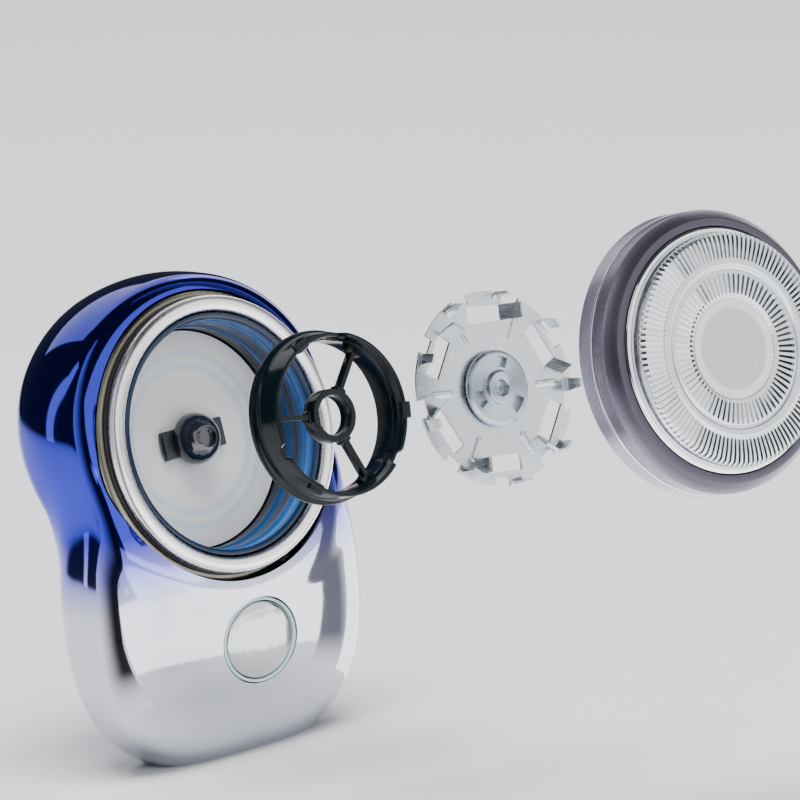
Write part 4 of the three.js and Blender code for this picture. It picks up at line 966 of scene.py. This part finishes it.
def build_inner():
    """Finishes of the working parts whose shape the frame already gives."""
    steel = polished_finish("plain_steel", (0.50, 0.52, 0.55), 0.25)
    copper = turned_finish("copper", HEAD, (0.72, 0.38, 0.20), 0.3)
    black = moulded_finish("inner_black", (0.02, 0.02, 0.022), 0.35)
    white = moulded_finish("white_plastic", (0.78, 0.78, 0.76), 0.4)
    rubber = moulded_finish("inner_rubber", (0.02, 0.02, 0.022), 0.6)
    foil = polished_finish("battery_foil", (0.60, 0.63, 0.67), 0.3)
    board = moulded_finish("board_green", (0.02, 0.16, 0.08), 0.4, coat=0.4)
    finishes = {
        steel: pair("chassis_screw") + pair("motor_screw") + ["usb_c_port", "motor_can", "motor_shaft"],
        copper: pair("motor_terminal") + ["motor_armature", "motor_front_bush"],
        black: ["tact_switch", "motor_end_cap", "button_stem", "cutter_bush"],
        white: ["chassis", "motor_bracket", "indicator_led"],
        rubber: ["chamber_o_ring", "shaft_seal", "button_membrane"],
        foil: ["battery"],
        board: ["circuit_board"],
        moulded_finish("red_lead", (0.50, 0.03, 0.02), 0.45): ["battery_lead_left"],
        moulded_finish("black_lead", (0.02, 0.02, 0.02), 0.45): ["battery_lead_right"],
    }
    for material, nodes in finishes.items():
        for node in nodes:
            mesh = frame["nodes"][node].data
            mesh.materials.clear()
            mesh.materials.append(material)


# --- studio

# how far in front of the frame's middle the cards are centred
FOOT_Y = -0.005


def camera_axes(stage):
    """Right, up and back of the camera: the view from an azimuth and elevation, rolled about its own line."""
    back = direction(stage.azimuth, stage.elevation)
    level = Vector((math.cos(stage.azimuth), math.sin(stage.azimuth), 0))
    right = level * math.cos(stage.roll) - back.cross(level) * math.sin(stage.roll)
    return right, back.cross(right), back


def build_camera(stage):
    right, up, back = camera_axes(stage)
    data = bpy.data.cameras.new("camera")
    data.lens = stage.lens
    data.sensor_width = 36
    data.clip_end = 50
    aim = Vector(HEAD.origin) + right * stage.right_of_ring + up * stage.above_ring
    distance = data.lens / data.sensor_width * stage.view_width
    turn = Matrix((right, up, back)).transposed().to_4x4()
    camera = bpy.data.objects.new("camera", data)
    camera.matrix_world = Matrix.Translation(aim + back * distance) @ turn
    link(camera)
    bpy.context.scene.camera = camera


def direction(azimuth, elevation):
    """A unit vector at an azimuth from the front and an elevation, both in radians."""
    return Vector((math.sin(azimuth) * math.cos(elevation), -math.cos(azimuth) * math.cos(elevation),
                   math.sin(elevation)))


def softbox(name, azimuth, elevation, distance, size, radiance, glossy=True, diffuse=True):
    """A rectangular light of a given brightness at an azimuth and elevation round the head, facing it."""
    away = direction(math.radians(azimuth), math.radians(elevation))
    data = bpy.data.lights.new(name, "AREA")
    data.shape = "RECTANGLE"
    data.size, data.size_y = size
    data.energy = radiance * math.pi * size[0] * size[1]
    lamp = bpy.data.objects.new(name, data)
    lamp.visible_camera = False
    lamp.visible_glossy = glossy
    lamp.visible_diffuse = diffuse
    facing = away.to_track_quat("Z", "Y").to_matrix().to_4x4()
    lamp.matrix_world = Matrix.Translation(Vector((0, -0.03, 0.04)) + away * distance) @ facing
    link(lamp)


def build_stage(stage):
    span = np.linspace(-6, 6, 25)
    x, y = np.meshgrid(span, span, indexing="ij")
    floor = mesh_object("floor", [(np.stack([x, y, 0 * x], -1), False, False)], outward=False)
    made = Finish("floor", roughness=1.0, Specular_IOR_Level=0.0)
    made.clouded(6, 2, stage.floor_colour, 0.97)
    floor.data.materials.append(made.material)
    build_world()
    reflected = {"diffuse": False}
    filling = {"glossy": False}
    softbox("front", 10, 22, 0.21, (0.44, 0.26), 1.7, **reflected)
    softbox("front_fill", -10, 30, 1.2, (1.1, 0.7), 3.2, **filling)
    softbox("left_strip", -90, 24, 0.3, (0.07, 0.3), 1.8, **reflected)
    softbox("left_back_strip", -128, 24, 0.7, (0.10, 0.7), 1.8, **reflected)
    softbox("right_strip", 116, 20, 0.5, (0.14, 0.5), 2.0, **reflected)
    softbox("hood_patch", -82, 52, 0.5, (0.22, 0.30), 1.05, **reflected)
    softbox("hood_rear", 150, 42, 0.8, (0.9, 0.5), 1.3, **reflected)
    softbox("ceiling", -30, 80, 1.1, (0.9, 0.6), 14, **filling)
    softbox("rear_fill", 165, 40, 1.0, (0.6, 0.4), 6, **filling)
    card("left_flag", (-96, -50), (0.026, 0.095), 0.4, flag_finish("left_flag", -56, -94, 0.015))
    card("right_flag", (56, 76), (0.030, 0.095), 0.4, flag_finish("right_flag", 64, 78, 0.26))
    white = Finish("reflector_white", (0.9, 0.9, 0.9), 0.9, Emission_Strength=1.5)
    sheen = white.mix(white.noise(8, 1), (0.92, 0.94, 1.0), (1.0, 1.0, 1.0))
    white.set(Emission_Color=sheen)
    card("front_reflector", (-46, 56), (0.048, 0.2), 0, white.material)
    card("right_reflector", (76, 108), (0.030, 0.2), 0, white.material)


def flag_finish(name, dark, pale, depth):
    """A card that fades from its dark azimuth to its pale one, and towards the body's foot."""
    made = Finish(name, (0.0, 0.0, 0.0), 1.0, Emission_Strength=1.0)
    a, b = math.radians(dark), math.radians(pale)
    ahead, side = (math.sin(a), -math.cos(a), 0), (math.cos(a), math.sin(a), 0)
    bearing = made.height(side) / (made.height(ahead) + 0.004)
    across = made.spread(bearing, 0.0, math.tan(b - a), kind="SMOOTHSTEP")
    foot = made.spread(made.radius(Axis([0, FOOT_Y, 0], [0, 0, 1])), 0.056, 0.028, kind="SMOOTHSTEP")
    fade = across + foot - across * foot
    made.set(Emission_Color=made.mix(fade, (depth, depth, 1.2 * depth), (1.62, 1.63, 1.67)))
    return made.material


def card(name, azimuths, reach, height, material):
    """A card on the floor between two azimuths, bent upright at its far edge; only reflections show it."""
    a = np.radians(np.linspace(*azimuths, 13))[:, None]
    near, far = reach
    thin = 0.0006
    out = np.concatenate([np.linspace(near, far, 7), [far]])
    up = np.concatenate([np.full(7, thin), [max(height, thin)]])
    grid = np.stack([np.sin(a) * out, FOOT_Y - np.cos(a) * out, np.broadcast_to(up, (13, 8))], -1)
    piece = mesh_object(name, [(grid if height else grid[:, :7], False, False)], outward=False)
    piece.data.materials.append(material)
    for kind in ("camera", "diffuse", "shadow"):
        setattr(piece, "visible_" + kind, False)


def build_world():
    """A dim surround for reflections, and a pale one where the view passes the floor's edge."""
    world = bpy.data.worlds.new("studio")
    world.use_nodes = True
    nodes, links = world.node_tree.nodes, world.node_tree.links
    dim = nodes["Background"]
    dim.inputs["Color"].default_value = (0.035, 0.04, 0.06, 1)
    pale = nodes.new("ShaderNodeBackground")
    pale.inputs["Color"].default_value = (0.62, 0.63, 0.65, 1)
    mixed = nodes.new("ShaderNodeMixShader")
    links.new(nodes.new("ShaderNodeLightPath").outputs["Is Camera Ray"], mixed.inputs[0])
    links.new(dim.outputs[0], mixed.inputs[1])
    links.new(pale.outputs[0], mixed.inputs[2])
    links.new(mixed.outputs[0], nodes["World Output"].inputs["Surface"])
    bpy.context.scene.world = world


# --- operators, panel and registration

class Build(bpy.types.Operator):
    """Base of the building steps"""
    bl_options = {"REGISTER", "UNDO"}

    def execute(self, context):
        self.build(context.scene)
        return {"FINISHED"}


class SHAVER_OT_shell(Build):
    """Build the plated body shell"""
    bl_idname = "shaver.shell"
    bl_label = "Body shell"

    def build(self, scene):
        build_shell(scene.shaver_shell, scene.shaver_colours)


class SHAVER_OT_seat(Build):
    """Build the polished ring, the collar and the gasket"""
    bl_idname = "shaver.seat"
    bl_label = "Ring and collar"

    def build(self, scene):
        build_seat(scene.shaver_head)


class SHAVER_OT_chamber(Build):
    """Build the hair chamber and its floor plate"""
    bl_idname = "shaver.chamber"
    bl_label = "Hair chamber"

    def build(self, scene):
        build_chamber(scene.shaver_colours)


class SHAVER_OT_drive(Build):
    """Build the drive dome and its arm"""
    bl_idname = "shaver.drive"
    bl_label = "Drive"

    def build(self, scene):
        build_drive()


class SHAVER_OT_button(Build):
    """Build the power button and its light ring"""
    bl_idname = "shaver.button"
    bl_label = "Power button"

    def build(self, scene):
        build_button()


class SHAVER_OT_frame(Build):
    """Build the retaining frame"""
    bl_idname = "shaver.frame"
    bl_label = "Retaining frame"

    def build(self, scene):
        build_frame(scene.shaver_head)


class SHAVER_OT_cutter(Build):
    """Build the cutter plate, blades, drum and stem"""
    bl_idname = "shaver.cutter"
    bl_label = "Cutter"

    def build(self, scene):
        build_cutter()


class SHAVER_OT_cap(Build):
    """Build the head cap's bands, trim and holder"""
    bl_idname = "shaver.cap"
    bl_label = "Head cap"

    def build(self, scene):
        build_cap(scene.shaver_head, scene.shaver_colours)


class SHAVER_OT_net(Build):
    """Build the slotted net"""
    bl_idname = "shaver.net"
    bl_label = "Slotted net"

    def build(self, scene):
        build_net(scene.shaver_head)


class SHAVER_OT_disc(Build):
    """Build the cap's centre disc"""
    bl_idname = "shaver.disc"
    bl_label = "Centre disc"

    def build(self, scene):
        build_disc(scene.shaver_head)


class SHAVER_OT_inner(Build):
    """Finish the working parts inside"""
    bl_idname = "shaver.inner"
    bl_label = "Working parts"

    def build(self, scene):
        build_inner()


class SHAVER_OT_stage(Build):
    """Build the floor, the lights and the camera"""
    bl_idname = "shaver.stage"
    bl_label = "Studio"

    def build(self, scene):
        build_stage(scene.shaver_stage)
        build_camera(scene.shaver_stage)


STEPS = (
    SHAVER_OT_shell, SHAVER_OT_seat, SHAVER_OT_chamber, SHAVER_OT_drive, SHAVER_OT_button, SHAVER_OT_frame,
    SHAVER_OT_cutter, SHAVER_OT_cap, SHAVER_OT_net, SHAVER_OT_disc, SHAVER_OT_inner, SHAVER_OT_stage)
GROUPS = {"shaver_shell": ShaverShell, "shaver_head": ShaverHead, "shaver_colours": ShaverColours,
          "shaver_stage": ShaverStage}


class SHAVER_PT_panel(bpy.types.Panel):
    """Sizes, colours and building steps of the shaver"""
    bl_label = "Shaver"
    bl_idname = "SHAVER_PT_panel"
    bl_space_type = "VIEW_3D"
    bl_region_type = "UI"
    bl_category = "Shaver"

    def draw(self, context):
        for step in STEPS:
            self.layout.operator(step.bl_idname)
        for name, group in GROUPS.items():
            box = self.layout.box()
            for prop in group.__annotations__:
                box.prop(getattr(context.scene, name), prop)


def register():
    for kind in (*GROUPS.values(), *STEPS, SHAVER_PT_panel):
        bpy.utils.register_class(kind)
    for name, group in GROUPS.items():
        setattr(bpy.types.Scene, name, PointerProperty(type=group))


def unregister():
    for name in GROUPS:
        delattr(bpy.types.Scene, name)
    for kind in reversed((*GROUPS.values(), *STEPS, SHAVER_PT_panel)):
        bpy.utils.unregister_class(kind)


def main():
    register()
    for step in STEPS:
        group, name = step.bl_idname.split(".")
        getattr(getattr(bpy.ops, group), name)()


if __name__ == "__main__":
    main()
